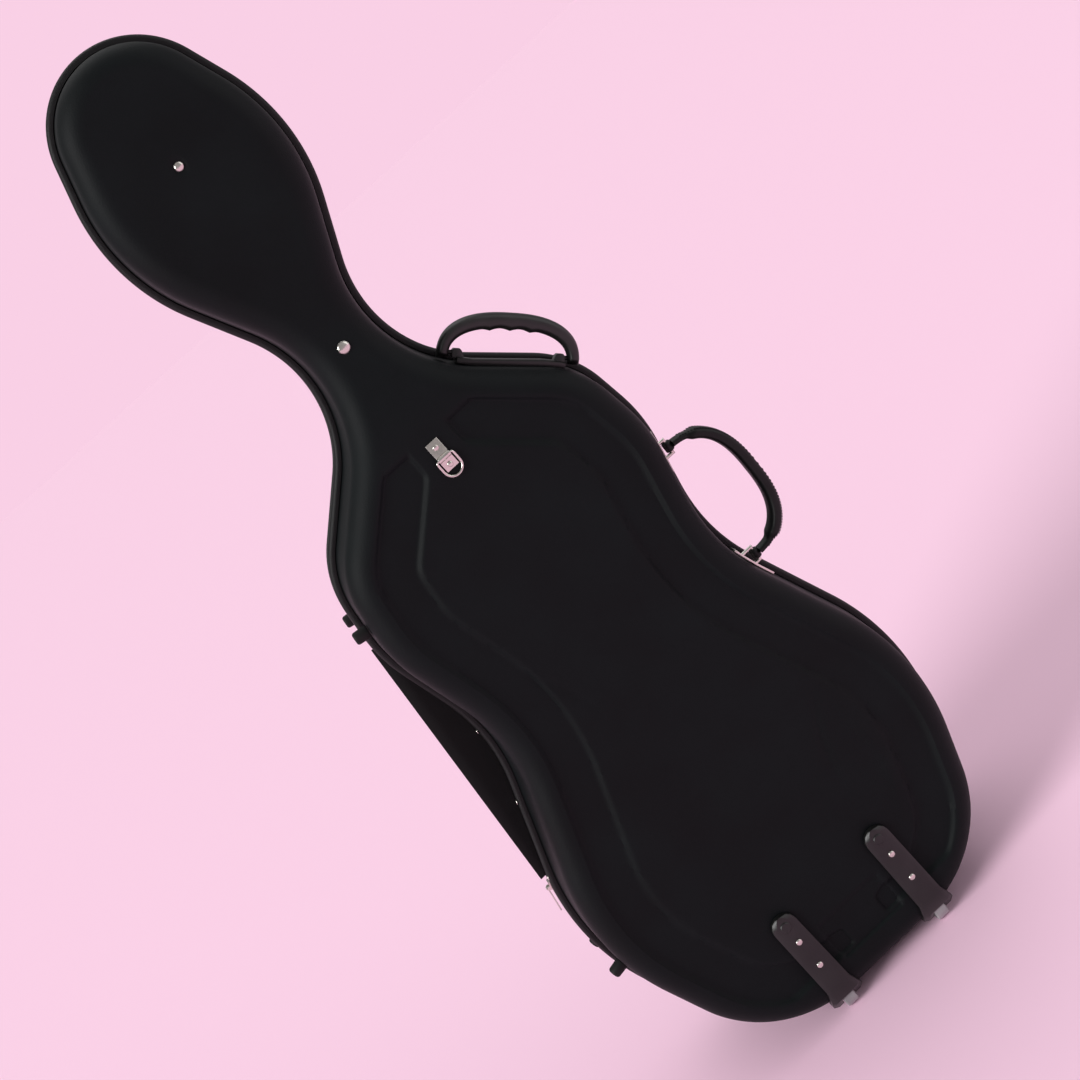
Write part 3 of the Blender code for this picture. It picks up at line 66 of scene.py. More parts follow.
# Shell section
BACK_DEPTH = 0.092
BACK_HEAD_DEPTH = 0.078
BACK_EDGE = 0.028
LID_BASE_DEPTH = 0.150
LID_BRIDGE_DEPTH = 0.168
LID_HEAD_DEPTH = 0.095
LID_EDGE = 0.034
BRIDGE_HEIGHT = 0.460
NECK_HEIGHT = 0.954
TAPER_START = 0.835
TAPER_LENGTH = 0.150
DRAFT = 0.004
SHELL_WALL = 0.006
LINING_WALL = 0.003
TAPE_HALF = 0.005
GAP = 0.0003

# Moulded channels, recess and creases of the broad faces
CHANNEL_WIDTH = 0.052
CHANNEL_DEPTH = 0.0048
CHANNEL_SLOPE = 0.006
CHANNEL_TOP = 0.828
CHANNEL_FOOT = 0.050
STRIP_HALF = 0.024
RECESS_HALF = 0.047
RECESS_LOW = 0.045
RECESS_HIGH = 0.102
RECESS_DEPTH = 0.003
RECESS_SLOPE = 0.003
# Height, radius and depth of the dimple under the head's rivet
HEAD_DIMPLE = (1.195, 0.009, 0.0015)
CREASE_DEPTH = 0.0018
CREASE_WIDTH = 0.0040
# Start, end, bow and share of the depth of each crease; a share below 0 stands out
CREASES = (
    ((0.134, 0.325), (0.081, 0.190), 0.010, 1.0),
    ((0.138, 0.315), (0.104, 0.110), -0.020, -0.8),
    ((-0.060, 0.470), (-0.095, 0.560), 0.006, 0.6),
)

# Rim and zip
RIM_PROUD = 0.008
RIM_BAND = 0.009
TAPE_PROUD = 0.004
RIM_GRIP = 0.005
TAPE_LIP = 0.001
# Outer line of the binding: how far it lies inside the rim's proudest line, and its distance past the tape
RIM_SECTION = (
    (0.0042, RIM_BAND), (0.0024, RIM_BAND - 0.0006), (0.0012, RIM_BAND - 0.0020),
    (0.0004, 0.0060), (0.0010, 0.0052),
    (0.0003, 0.0042), (0.0, 0.0024), (0.0004, 0.0010), (0.0016, 0.0),
)
TOOTH_PITCH = 0.005
TOOTH_LENGTH = 0.0022
TOOTH_HALF = 0.0011
TOOTH_WIDTH = 0.0026
TOOTH_ROOT = 0.0008
TOOTH_START = 0.0002
# Shares of the length, half and width at the two outer steps of a tooth
TOOTH_STEPS = ((0.6, 1.0, 1.0), (1.0, 0.6, 0.7))
WEB_LOW = 0.338
WEB_HIGH = 0.676

# Wheels
WHEEL_RADIUS = 0.018
WHEEL_HALF = 0.008
WHEEL_X = 0.073
WHEEL_Y = -0.073
WHEEL_Z = 0.008
AXLE_RADIUS = 0.0025
HUB_RADIUS = 0.0065
TREAD_HEIGHT = 0.005
WHEEL_SINK = 0.002
WELL_RADIUS = 0.0243
WELL_HALF = 0.0133

# Rivet heads: shares of radius and height up the collar, then the dome's
RIVET_COLLAR = ((0.98, 0.0), (1.0, 0.15), (0.97, 0.3))
DOME_SHARE = 0.93
DOME_START = 0.35

# Grip handle on the shoulder: its chord's middle, its direction and its curves
GRIP_MIDDLE = (0.11998, 0.81599)
GRIP_ALONG = (0.70491, -0.70929)
GRIP_BACK = 0.040
GRIP_SPAN = 0.0785
GRIP_RISE = 0.0555
GRIP_INNER_SPAN = 0.066
GRIP_INNER_RISE = 0.038
GRIP_THICKNESS = 0.024
GRIP_FOOT = 0.0035
GRIP_PIVOT = 0.010
GRIP_END_THICKNESS = 0.0105
FINGER_PITCH = 0.022
FINGER_DEPTH = 0.0022
# Powers of the bow and of its section: below 1 is fuller than an ellipse
GRIP_BOW = 0.8
GRIP_FULLNESS = 0.75

# Carry handle: the two ends of its hinge line and its curve
CARRY_LOW = (0.18999, 0.46391)
CARRY_HIGH = (0.19417, 0.62545)
CARRY_BACK = 0.035
CARRY_REACH = 0.066
CARRY_SLEEVE = 0.014
CARRY_SLEEVE_WIDTH = 0.026
CARRY_STRAP = 0.008
CARRY_STRAP_WIDTH = 0.018
# Powers of the curve's spread and rise and of its section, the turn that the ends leave out, and where
# the sleeve's padding starts and how far it takes to be full, as sines of the turn
CARRY_SPREAD = 0.75
CARRY_BOW = 0.85
CARRY_FULLNESS = 0.7
CARRY_END_TURN = 0.06
CARRY_PADDING = (0.30, 0.18)
EYE_RADIUS = 0.0055
EYE_WIDTH = 0.012
EYE_CHAMFER = 0.001
STITCH_PITCH = 2
STITCH_MARGIN = 6
STITCH_LIFT = 0.86
STITCH_SPREAD = 0.80
STITCH_HALF = 0.0016
STITCH_RADIUS = 0.0005
MOULDED_ROUNDING = 0.0008
THIN_ROUNDING = 0.0003
STAPLE_ROUNDING = 0.0004
STRAP_ROUNDING = 0.0005
PAD_ROUNDING = 0.006

# Camera, from the photograph's perspective
CAMERA_AT = (-0.0780, -1.9821, 1.1639)
CAMERA_RIGHT = (0.7316, -0.2092, -0.6489)
CAMERA_UP = (0.6800, 0.1555, 0.7165)
CAMERA_BACK = (-0.0490, -0.9654, 0.2560)
LENS_MM = 60.0
SENSOR_MM = 36.0
PALE_PINK = (1.0, 0.66, 0.83, 1.0)
BACKDROP = (0.95, 0.63, 0.79, 1.0)
FLOOR_SIZE = 40.0
ROOM_LIGHT = 0.35
LAMP_AIM = (0.0, 0.0, 0.7)
# Name, place, spread in degrees and strength of each soft lamp
LAMPS = (("key", (-2.6, -1.2, 2.2), 30.0, 2.2), ("fill", (2.6, -1.2, 1.6), 60.0, 0.7),
         ("top", (0.4, 1.0, 3.2), 60.0, 0.8))


def smooth(value, start, length):
    """Smooth step from 0 to 1 over a length."""
    part = np.clip((value - start) / length, 0.0, 1.0)
    return part * part * (3 - 2 * part)


def back_depth(z):
    """Depth of the back at a height: even, then a smooth step down to the head."""
    return BACK_DEPTH - (BACK_DEPTH - BACK_HEAD_DEPTH) * smooth(z, TAPER_START, TAPER_LENGTH)


def lid_depth(z):
    """Depth of the lid at a height: a smooth rise to the bridge, then a smooth fall to the neck."""
    rise = LID_BASE_DEPTH + (LID_BRIDGE_DEPTH - LID_BASE_DEPTH) * smooth(z, 0.0, BRIDGE_HEIGHT)
    fall = LID_BRIDGE_DEPTH - LID_HEAD_DEPTH
    return rise - fall * smooth(z, BRIDGE_HEIGHT, NECK_HEIGHT - BRIDGE_HEIGHT)


def join_heading(first, second):
    """Heading of the line that leaves one arc and joins the next."""
    across, along = second[0] - first[0], second[1] - first[1]
    share = (second[3] * second[2] - first[3] * first[2]) / math.hypot(across, along)
    return math.atan2(along, across) - math.asin(min(max(share, -1.0), 1.0))


def outline():
    """Right side of the wall from the base corner to the top: points and inward normals, evenly spaced."""
    headings = [0.0] + [join_heading(a, b) for a, b in zip(ARCS[:-1], ARCS[1:])] + [math.pi]
    points, angles = [], []
    for (cx, cz, radius, turn), start, end in zip(ARCS, headings[:-1], headings[1:]):
        sweep = np.linspace(start, end, ARC_STEPS)
        inward = np.stack([-np.sin(sweep), np.cos(sweep)], axis=1)
        points.append(np.array([cx, cz]) - turn * radius * inward)
        angles.append(sweep)
    points, angles = np.concatenate(points), np.concatenate(angles)
    length = np.concatenate([[0.0], np.cumsum(np.linalg.norm(np.diff(points, axis=0), axis=1))])
    keep = np.concatenate([[True], np.diff(length) > 1e-7])
    at = np.linspace(0.0, length[-1], int(length[-1] / OUTLINE_STEP))
    points = np.stack([np.interp(at, length[keep], points[keep, k]) for k in (0, 1)], axis=1)
    angles = np.interp(at, length[keep], angles[keep])
    return points, np.stack([-np.sin(angles), np.cos(angles)], axis=1)


POINTS, NORMALS = outline()


def loop(inset, height_to_y):
    """Closed loop at an inset: along the flat base, up the right side and down the left."""
    line = POINTS + inset * NORMALS
    base_x = np.linspace(-BASE_HALF, BASE_HALF, FACE_COLUMNS)[1:-1]
    base = np.stack([base_x, np.full(len(base_x), line[0, 1])], axis=1)
    left = line[-2::-1] * np.array([-1.0, 1.0])
    flat = np.concatenate([base, line, left])
    return place(flat[:, 0], height_to_y(flat[:, 1]), flat[:, 1])


def place(x, y, z):
    """Case coordinates to the frame's."""
    x, y, z = np.broadcast_arrays(x, y, z)
    return np.stack([x, y + ZIP_Y, z + STANCE], axis=-1)


def band_faces(rows, columns, wrap_rows=False, wrap_columns=True):
    """Quads of a grid of points whose columns, and rows if asked, close on themselves."""
    index = np.arange(rows * columns).reshape(rows, columns)
    if wrap_rows:
        index = np.vstack([index, index[:1]])
    if wrap_columns:
        index = np.hstack([index, index[:, :1]])
    quads = np.stack([index[:-1, :-1], index[:-1, 1:], index[1:, 1:], index[1:, :-1]], axis=-1)
    return quads.reshape(-1, 4)


def piece(name, parts, finish, angle=40.0):
    """Object from (points, faces) parts, welded, with its faces out and smooth below an angle."""
    mesh = bpy.data.meshes.new(name)
    offset, corners, faces = 0, [], []
    for points, quads in parts:
        points = np.asarray(points, dtype=float).reshape(-1, 3)
        corners.append(points)
        faces += (np.asarray(quads) + offset).tolist()
        offset += len(points)
    mesh.from_pydata(np.concatenate(corners).tolist(), [], faces)
    shape = bmesh.new()
    shape.from_mesh(mesh)
    bmesh.ops.remove_doubles(shape, verts=shape.verts, dist=WELD)
    bmesh.ops.dissolve_degenerate(shape, edges=shape.edges, dist=WELD / 2)
    bmesh.ops.recalc_face_normals(shape, faces=shape.faces)
    shape.to_mesh(mesh)
    shape.free()
    mesh.shade_smooth()
    mesh.set_sharp_from_angle(angle=math.radians(angle))
    item = bpy.data.objects.new(name, mesh)
    bpy.context.collection.objects.link(item)
    mesh.materials.append(FINISHES[finish])
    return item


def settled(item):
    """Applies an object's modifiers to its mesh."""
    view = bpy.context.evaluated_depsgraph_get()
    mesh = bpy.data.meshes.new_from_object(item.evaluated_get(view))
    item.modifiers.clear()
    item.data = mesh
    return item


def give(item, body, finish, *nodes):
    """Rides a piece on its body and hides the nodes that it stands for; the finish is not used."""
    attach(item, body)
    if nodes:
        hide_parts(*nodes)
    return item


# Finishes

def socket_group(name, inputs, outputs):
    """Empty node group with its inputs and outputs."""
    group = bpy.data.node_groups.new(name, "ShaderNodeTree")
    for label, kind, value in inputs:
        made = group.interface.new_socket(label, in_out="INPUT", socket_type=kind)
        if value is not None:
            made.default_value = value
    for label, kind in outputs:
        group.interface.new_socket(label, in_out="OUTPUT", socket_type=kind)
    return group, group.nodes.new("NodeGroupInput"), group.nodes.new("NodeGroupOutput")


def math_node(group, operation, first, second):
    """Result of one sum of sockets or numbers."""
    node = group.nodes.new("ShaderNodeMath")
    node.operation = operation
    for socket, value in zip(node.inputs, (first, second)):
        if isinstance(value, (int, float)):
            socket.default_value = value
        else:
            group.links.new(value, socket)
    return node.outputs[0]


def grain_group():
    """Pebbled cover: small cells with broad mottling. Height is the relief, Shade the mottling."""
    group, source, sink = socket_group("cover_grain", [
        ("Vector", "NodeSocketVector", None), ("Cells", "NodeSocketFloat", 900.0),
        ("Patches", "NodeSocketFloat", 14.0)], [("Height", "NodeSocketFloat"), ("Shade", "NodeSocketFloat")])
    cells = group.nodes.new("ShaderNodeTexVoronoi")
    cells.feature = "SMOOTH_F1"
    fibres = group.nodes.new("ShaderNodeTexNoise")
    fibres.inputs["Detail"].default_value = 4.0
    patches = group.nodes.new("ShaderNodeTexNoise")
    patches.inputs["Detail"].default_value = 5.0
    for node, scale in ((cells, source.outputs["Cells"]), (fibres, source.outputs["Cells"]),
                        (patches, source.outputs["Patches"])):
        group.links.new(source.outputs["Vector"], node.inputs["Vector"])
        group.links.new(scale, node.inputs["Scale"])
    rough = math_node(group, "MULTIPLY", fibres.outputs[0], 0.6)
    group.links.new(math_node(group, "ADD", cells.outputs["Distance"], rough), sink.inputs["Height"])
    group.links.new(patches.outputs[0], sink.inputs["Shade"])
    return group


def weave_group():
    """Webbing: crossed ribs. Height is the relief of both yarns, Shade their tone."""
    group, source, sink = socket_group("ribbed_weave", [
        ("Vector", "NodeSocketVector", None), ("Ribs", "NodeSocketFloat", 260.0)],
        [("Height", "NodeSocketFloat"), ("Shade", "NodeSocketFloat")])
    outputs = []
    for direction in ("X", "Z"):
        wave = group.nodes.new("ShaderNodeTexWave")
        wave.bands_direction = direction
        wave.inputs["Distortion"].default_value = 0.6
        group.links.new(source.outputs["Vector"], wave.inputs["Vector"])
        group.links.new(source.outputs["Ribs"], wave.inputs["Scale"])
        outputs.append(wave.outputs["Fac"])
    both = math_node(group, "MULTIPLY", outputs[0], outputs[1])
    group.links.new(both, sink.inputs["Height"])
    group.links.new(math_node(group, "MULTIPLY", both, 0.7), sink.inputs["Shade"])
    return group


GRAIN = grain_group()
WEAVE = weave_group()


def finish(name, dark, light, roughness, relief, group, values, metallic=0.0, sheen=0.0, coat=0.0,
           specular=0.25):
    """Surface whose tone, roughness and relief come from one shared pattern."""
    surface = bpy.data.materials.new(name)
    surface.use_nodes = True
    tree = surface.node_tree
    shader = tree.nodes["Principled BSDF"]
    where = tree.nodes.new("ShaderNodeTexCoord")
    pattern = tree.nodes.new("ShaderNodeGroup")
    pattern.node_tree = group
    tree.links.new(where.outputs["Object"], pattern.inputs["Vector"])
    for label, value in values.items():
        pattern.inputs[label].default_value = value
    tone = tree.nodes.new("ShaderNodeValToRGB")
    tone.color_ramp.elements[0].position = 0.30
    tone.color_ramp.elements[0].color = (*dark, 1.0)
    tone.color_ramp.elements[1].position = 0.72
    tone.color_ramp.elements[1].color = (*light, 1.0)
    tree.links.new(pattern.outputs["Shade"], tone.inputs["Fac"])
    tree.links.new(tone.outputs["Color"], shader.inputs["Base Color"])
    spread = tree.nodes.new("ShaderNodeMapRange")
    spread.inputs["To Min"].default_value = roughness - 0.07
    spread.inputs["To Max"].default_value = min(roughness + 0.10, 1.0)
    tree.links.new(pattern.outputs["Shade"], spread.inputs["Value"])
    tree.links.new(spread.outputs["Result"], shader.inputs["Roughness"])
    bump = tree.nodes.new("ShaderNodeBump")
    bump.inputs["Strength"].default_value = 0.5
    bump.inputs["Distance"].default_value = relief
    tree.links.new(pattern.outputs["Height"], bump.inputs["Height"])
    tree.links.new(bump.outputs["Normal"], shader.inputs["Normal"])
    shader.inputs["Metallic"].default_value = metallic
    shader.inputs["Sheen Weight"].default_value = sheen
    shader.inputs["Coat Weight"].default_value = coat
    shader.inputs["Specular IOR Level"].default_value = 0.5 if metallic else specular
    return surface


FINISHES = {
    "case_fabric": finish("cover_fabric", (0.0008, 0.0021, 0.0025), (0.0022, 0.0045, 0.0050), 0.55, 0.0004,
                          GRAIN, {"Cells": 950.0, "Patches": 11.0}, specular=0.15),
    "lining_plush": finish("plush", (0.006, 0.006, 0.007), (0.018, 0.018, 0.020), 0.9, 0.0006, GRAIN,
                           {"Cells": 600.0, "Patches": 30.0}, sheen=0.2),
    "rim_binding": finish("binding", (0.0020, 0.0022, 0.0024), (0.0070, 0.0074, 0.0078), 0.42, 0.0003, WEAVE,
                          {"Ribs": 420.0}),
    "webbing": finish("webbing", (0.0020, 0.0020, 0.0022), (0.0080, 0.0080, 0.0085), 0.75, 0.0004, WEAVE,
                      {"Ribs": 240.0}),
    "black_plastic": finish("moulded_plastic", (0.0060, 0.0062, 0.0060), (0.0110, 0.0112, 0.0108), 0.36,
                            0.00008, GRAIN, {"Cells": 1600.0, "Patches": 40.0}, specular=0.45),
    "black_rubber": finish("rubber", (0.0040, 0.0042, 0.0042), (0.0090, 0.0092, 0.0092), 0.60, 0.0001, GRAIN,
                           {"Cells": 1400.0, "Patches": 40.0}),
    "nickel": finish("nickel_plate", (0.58, 0.55, 0.50), (0.78, 0.75, 0.70), 0.20, 0.00003, GRAIN,
                     {"Cells": 500.0, "Patches": 60.0}, metallic=1.0),
    "wheel_grey": finish("soft_wheel", (0.22, 0.23, 0.23), (0.36, 0.37, 0.37), 0.35, 0.00008, GRAIN,
                         {"Cells": 900.0, "Patches": 50.0}, coat=0.2, specular=0.5),
    "handle_leatherette": finish("leatherette", (0.0024, 0.0028, 0.0028), (0.0070, 0.0076, 0.0076), 0.42,
                                 0.0003, GRAIN, {"Cells": 700.0, "Patches": 25.0}),
    "foam_pad": finish("pad_plush", (0.014, 0.014, 0.016), (0.036, 0.036, 0.040), 0.9, 0.0006, GRAIN,
                       {"Cells": 500.0, "Patches": 30.0}, sheen=0.4),
}


# Shells

def wall_distance(x, z):
    """Least distance from points of a broad face to the outline, by its line segments."""
    start, end = POINTS[:-1:2], POINTS[2::2]
    count = min(len(start), len(end))
    start, along = start[:count], end[:count] - start[:count]
    best = np.full(x.shape, 9.0)
    for (sx, sz), (ax, az) in zip(start, along):
        part = np.clip(((x - sx) * ax + (z - sz) * az) / (ax * ax + az * az), 0.0, 1.0)
        best = np.minimum(best, np.hypot(x - sx - part * ax, z - sz - part * az))
    return best


def window(value, low, high, slope):
    """1 between two limits, falling to 0 over a slope inside each."""
    return smooth(value, low, slope) * (1 - smooth(value, high - slope, slope))


def crease(x, z, start, end, bow):
    """Fold mark along a bowed line between two points, deepest in its middle."""
    sx, sz = start
    ax, az = end[0] - sx, end[1] - sz
    length = math.hypot(ax, az)
    part = ((x - sx) * ax + (z - sz) * az) / length ** 2
    across = ((x - sx) * az - (z - sz) * ax) / length - bow * np.sin(math.pi * np.clip(part, 0, 1))
    fade = np.clip(part, 0, 1) * np.clip(1 - part, 0, 1) * 4
    return fade * np.exp(-(across / CREASE_WIDTH) ** 2)


def channel(x, z, edge):
    """1 in the moulded channel and 0 outside: a band at a steady inset, cut by the neck's strip."""
    side = np.abs(x)
    band = window(wall_distance(side, z), edge, edge + CHANNEL_WIDTH, CHANNEL_SLOPE)
    strip = smooth(side, STRIP_HALF, CHANNEL_SLOPE)
    return band * strip * window(z, CHANNEL_FOOT, CHANNEL_TOP, CHANNEL_SLOPE)


def back_relief(x, z):
    """Depth of the back face below its flat: the sum of channel, base recess, head dimple and creases."""
    recess = window(np.abs(x), -RECESS_HALF, RECESS_HALF, RECESS_SLOPE)
    recess = recess * window(z, RECESS_LOW, RECESS_HIGH, RECESS_SLOPE)
    dimple_z, dimple_radius, dimple_depth = HEAD_DIMPLE
    dimple = 1 - smooth(np.hypot(x, z - dimple_z), dimple_radius - RECESS_SLOPE, RECESS_SLOPE)
    folds = sum(share * crease(x, z, start, end, bow) for start, end, bow, share in CREASES)
    cut = CHANNEL_DEPTH * channel(x, z, DRAFT + BACK_EDGE)
    return cut + RECESS_DEPTH * recess + dimple_depth * dimple + CREASE_DEPTH * folds


def lid_relief(x, z):
    """Depth of the lid's face below its flat: the channel alone."""
    return CHANNEL_DEPTH * channel(x, z, DRAFT + LID_EDGE)


def skin(side, depth, edge, inset, thickness, relief, steps):
    """One skin of a shell: loops up the wall and round its edge, then the broad face as a grid.

    A loop stands at the inset of the wall plus the draft, and over the edge its inset and its depth follow
    a quarter circle. The face spans the last loop from side to side at the depth of its height, less the
    relief, which ends at the loop.
    """
    loops = [loop(inset, lambda z: side * np.full_like(z, TAPE_HALF))]
    radius = edge - thickness
    for angle in np.linspace(0.0, math.pi / 2, steps):
        drop = thickness + radius * (1 - math.sin(angle))
        turn_in = DRAFT + thickness + radius * (1 - math.cos(angle))
        loops.append(loop(turn_in, lambda z, d=drop: side * (depth(z) - d)))
    count = len(loops[0])
    walls = (np.concatenate(loops), band_faces(len(loops), count))
    rows = POINTS + (DRAFT + edge) * NORMALS
    x = rows[:, :1] * np.linspace(-1.0, 1.0, FACE_COLUMNS)[None, :]
    z = np.repeat(rows[:, 1:], FACE_COLUMNS, axis=1)
    sunk = relief(x, z) if relief else 0.0
    free = np.ones_like(x)
    free[:, (0, -1)] = 0.0
    free[(0, -1), :] = 0.0
    face = place(x, side * (depth(z) - thickness - sunk * free), z)
    return [walls, (face, band_faces(*x.shape, wrap_columns=False))], loops[0]


def half_shell(name, side, depth, edge, start, wall, relief, finish_name):
    """Closed shell: an outer skin, an inner skin and the open edge between them."""
    outer, outer_edge = skin(side, depth, edge, start, start, relief, OUTER_EDGE_STEPS)
    inner, inner_edge = skin(side, depth, edge, start + wall, start + wall, None, INNER_EDGE_STEPS)
    rim = (np.concatenate([outer_edge, inner_edge]), band_faces(2, len(outer_edge)))
    return piece(name, outer + inner + [rim], finish_name)


def turned_points(profile, centre, axis, segments):
    """Points of a turned shape: profile rows of (radius, distance along the axis)."""
    axis = np.asarray(axis, dtype=float)
    axis /= np.linalg.norm(axis)
    side = np.cross(axis, (0.0, 1.0, 0.0) if abs(axis[1]) < 0.9 else (1.0, 0.0, 0.0))
    side /= np.linalg.norm(side)
    up = np.cross(axis, side)
    turn = np.linspace(0.0, 2 * math.pi, segments, endpoint=False)
    spokes = np.cos(turn)[:, None] * side + np.sin(turn)[:, None] * up
    radii, heights = np.array(profile).T
    return np.asarray(centre) + heights[:, None, None] * axis + radii[:, None, None] * spokes[None]


def turned(name, profile, centre, axis, finish_name, segments=40, closed=False):
    """Turned piece: closed runs its profile round a bore, otherwise it ends at poles on the axis."""
    points = turned_points(profile, centre, axis, segments)
    return piece(name, [(points, band_faces(len(profile), segments, wrap_rows=closed))], finish_name)


def cut_wells(item):
    """Cuts the wheel wells out of a shell."""
    cutters = []
    for sign in (-1, 1):
        centre = place(sign * WHEEL_X, WHEEL_Y, WHEEL_Z)
        profile = [(0.0, -WELL_HALF), (WELL_RADIUS, -WELL_HALF), (WELL_RADIUS, WELL_HALF), (0.0, WELL_HALF)]
        cutter = turned(f"well_{sign}", profile, centre, (1, 0, 0), "case_fabric", 48)
        change = item.modifiers.new(cutter.name, "BOOLEAN")
        change.object = cutter
        change.operation = "DIFFERENCE"
        change.solver = "EXACT"
        cutters.append(cutter)
    settled(item)
    for cutter in cutters:
        bpy.data.objects.remove(cutter, do_unlink=True)
    return item


def make_shells():
    """Both shells, and inside each a plush lining that starts a gap after the shell's wall."""
    back = half_shell("back_shell_cover", -1, back_depth, BACK_EDGE, 0.0, SHELL_WALL, back_relief,
                      "case_fabric")
    give(cut_wells(back), "back", "case_fabric", "back_shell")
    lid = half_shell("front_shell_cover", 1, lid_depth, LID_EDGE, 0.0, SHELL_WALL, lid_relief, "case_fabric")
    give(lid, "lid", "case_fabric", "front_shell")
    start = SHELL_WALL + GAP
    liner = half_shell("back_plush", -1, back_depth, BACK_EDGE, start, LINING_WALL, None, "lining_plush")
    give(cut_wells(liner), "back", "lining_plush", "back_lining")
    liner = half_shell("front_plush", 1, lid_depth, LID_EDGE, start, LINING_WALL, None, "lining_plush")
    give(liner, "lid", "lining_plush", "front_lining")


# Rim, zip and web

def rim_profile():
    """Section of a rim as (inset, distance from the zip plane): its seat, its binding and its tape lip."""
    binding = [(-RIM_PROUD + proud, TAPE_HALF + away) for proud, away in RIM_SECTION]
    seat = [(RIM_GRIP, GAP / 2), (RIM_GRIP, TAPE_HALF - GAP), (-GAP, TAPE_HALF - GAP),
            (-GAP, TAPE_HALF + RIM_BAND)]
    return seat + binding + [(-TAPE_PROUD, TAPE_HALF - TAPE_LIP), (-TAPE_PROUD, GAP / 2)]


def make_rim(name, side, body, node):
    """Rim: the section carried along the outline, so each of its points draws one loop."""
    profile = rim_profile()
    rings = [loop(inset, lambda z, d=distance: side * np.full_like(z, d)) for inset, distance in profile]
    item = piece(name, [(np.concatenate(rings), band_faces(len(rings), len(rings[0]), wrap_rows=True))],
                 "rim_binding", 32.0)
    give(item, body, "rim_binding", node)


def tooth_places():
    """Centres, tangents and outward normals of the zip's teeth, leaving out the hinge side's waist."""
    line = POINTS - TAPE_PROUD * NORMALS
    length = np.concatenate([[0.0], np.cumsum(np.linalg.norm(np.diff(line, axis=0), axis=1))])
    at = np.arange(TOOTH_PITCH, length[-1], TOOTH_PITCH)
    spots = np.stack([np.interp(at, length, line[:, k]) for k in (0, 1)], axis=1)
    facing = -np.stack([np.interp(at, length, NORMALS[:, k]) for k in (0, 1)], axis=1)
    mirror = np.array([-1.0, 1.0])
    left = (spots[:, 1] < WEB_LOW) | (spots[:, 1] > WEB_HIGH)
    return np.concatenate([spots, spots[left] * mirror]), np.concatenate([facing, facing[left] * mirror])


def make_teeth(name, side, body, first):
    """Row of nylon teeth: each a small block whose outer end is drawn in."""
    spots, facing = tooth_places()
    spots, facing = spots[first::2], facing[first::2]
    facing = facing / np.linalg.norm(facing, axis=1, keepdims=True)
    along = np.stack([-facing[:, 1], facing[:, 0]], axis=1)
    corners = []
    steps = [(-TOOTH_ROOT, TOOTH_HALF, TOOTH_WIDTH)]
    steps += [(TOOTH_LENGTH * out, TOOTH_HALF * half, TOOTH_WIDTH * width)
              for out, half, width in TOOTH_STEPS]
    for out, half, width in steps:
        for end, y in ((-1, TOOTH_START), (1, TOOTH_START), (1, width), (-1, width)):
            flat = spots + out * facing + end * half * along
            corners.append(place(flat[:, 0], np.full(len(flat), side * y), flat[:, 1]))
    points = np.stack(corners, axis=1)
    cells = np.array([[0, 1, 5, 4], [1, 2, 6, 5], [2, 3, 7, 6], [3, 0, 4, 7], [4, 5, 9, 8], [5, 6, 10, 9],
                      [6, 7, 11, 10], [7, 4, 8, 11], [3, 2, 1, 0], [8, 9, 10, 11]])
    faces = (np.arange(len(points))[:, None, None] * 12 + cells[None]).reshape(-1, 4)
    give(piece(name, [(points.reshape(-1, 3), faces)], "rim_binding"), body, "rim_binding")


def refined(node, name, finish_name, body, width=MOULDED_ROUNDING, angle=30.0, levels=0):
    """Copy of a CAD node with its flat triangles joined and its edges rounded."""
    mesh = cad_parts[node].data.copy()
    shape = bmesh.new()
    shape.from_mesh(mesh)
    bmesh.ops.remove_doubles(shape, verts=shape.verts, dist=WELD)
    bmesh.ops.dissolve_limit(shape, angle_limit=math.radians(1.0), verts=shape.verts, edges=shape.edges)
    shape.to_mesh(mesh)
    shape.free()
    mesh.materials.clear()
    mesh.materials.append(FINISHES[finish_name])
    item = bpy.data.objects.new(name, mesh)
    bpy.context.collection.objects.link(item)
    if levels:
        round_off = item.modifiers.new("rounding", "SUBSURF")
        round_off.levels = levels
        round_off.render_levels = levels
    else:
        edge = item.modifiers.new("edges", "BEVEL")
        edge.width = width
        edge.segments = 2
        edge.limit_method = "ANGLE"
        edge.angle_limit = math.radians(angle)
    settled(item)
    item.data.shade_smooth()
    item.data.set_sharp_from_angle(angle=math.radians(45))
    return give(item, body, finish_name, node)


# Handles

def superellipse(turn, power):
    """Cosine and sine of a section that is fuller than an ellipse."""
    cos, sin = np.cos(turn), np.sin(turn)
    return np.sign(cos) * np.abs(cos) ** power, np.sign(sin) * np.abs(sin) ** power


def capped(rings):
    """Grid of rings with a pole at each end."""
    first = np.repeat(rings[:1].mean(axis=1, keepdims=True), rings.shape[1], axis=1)
    last = np.repeat(rings[-1:].mean(axis=1, keepdims=True), rings.shape[1], axis=1)
    return np.concatenate([first, rings, last])


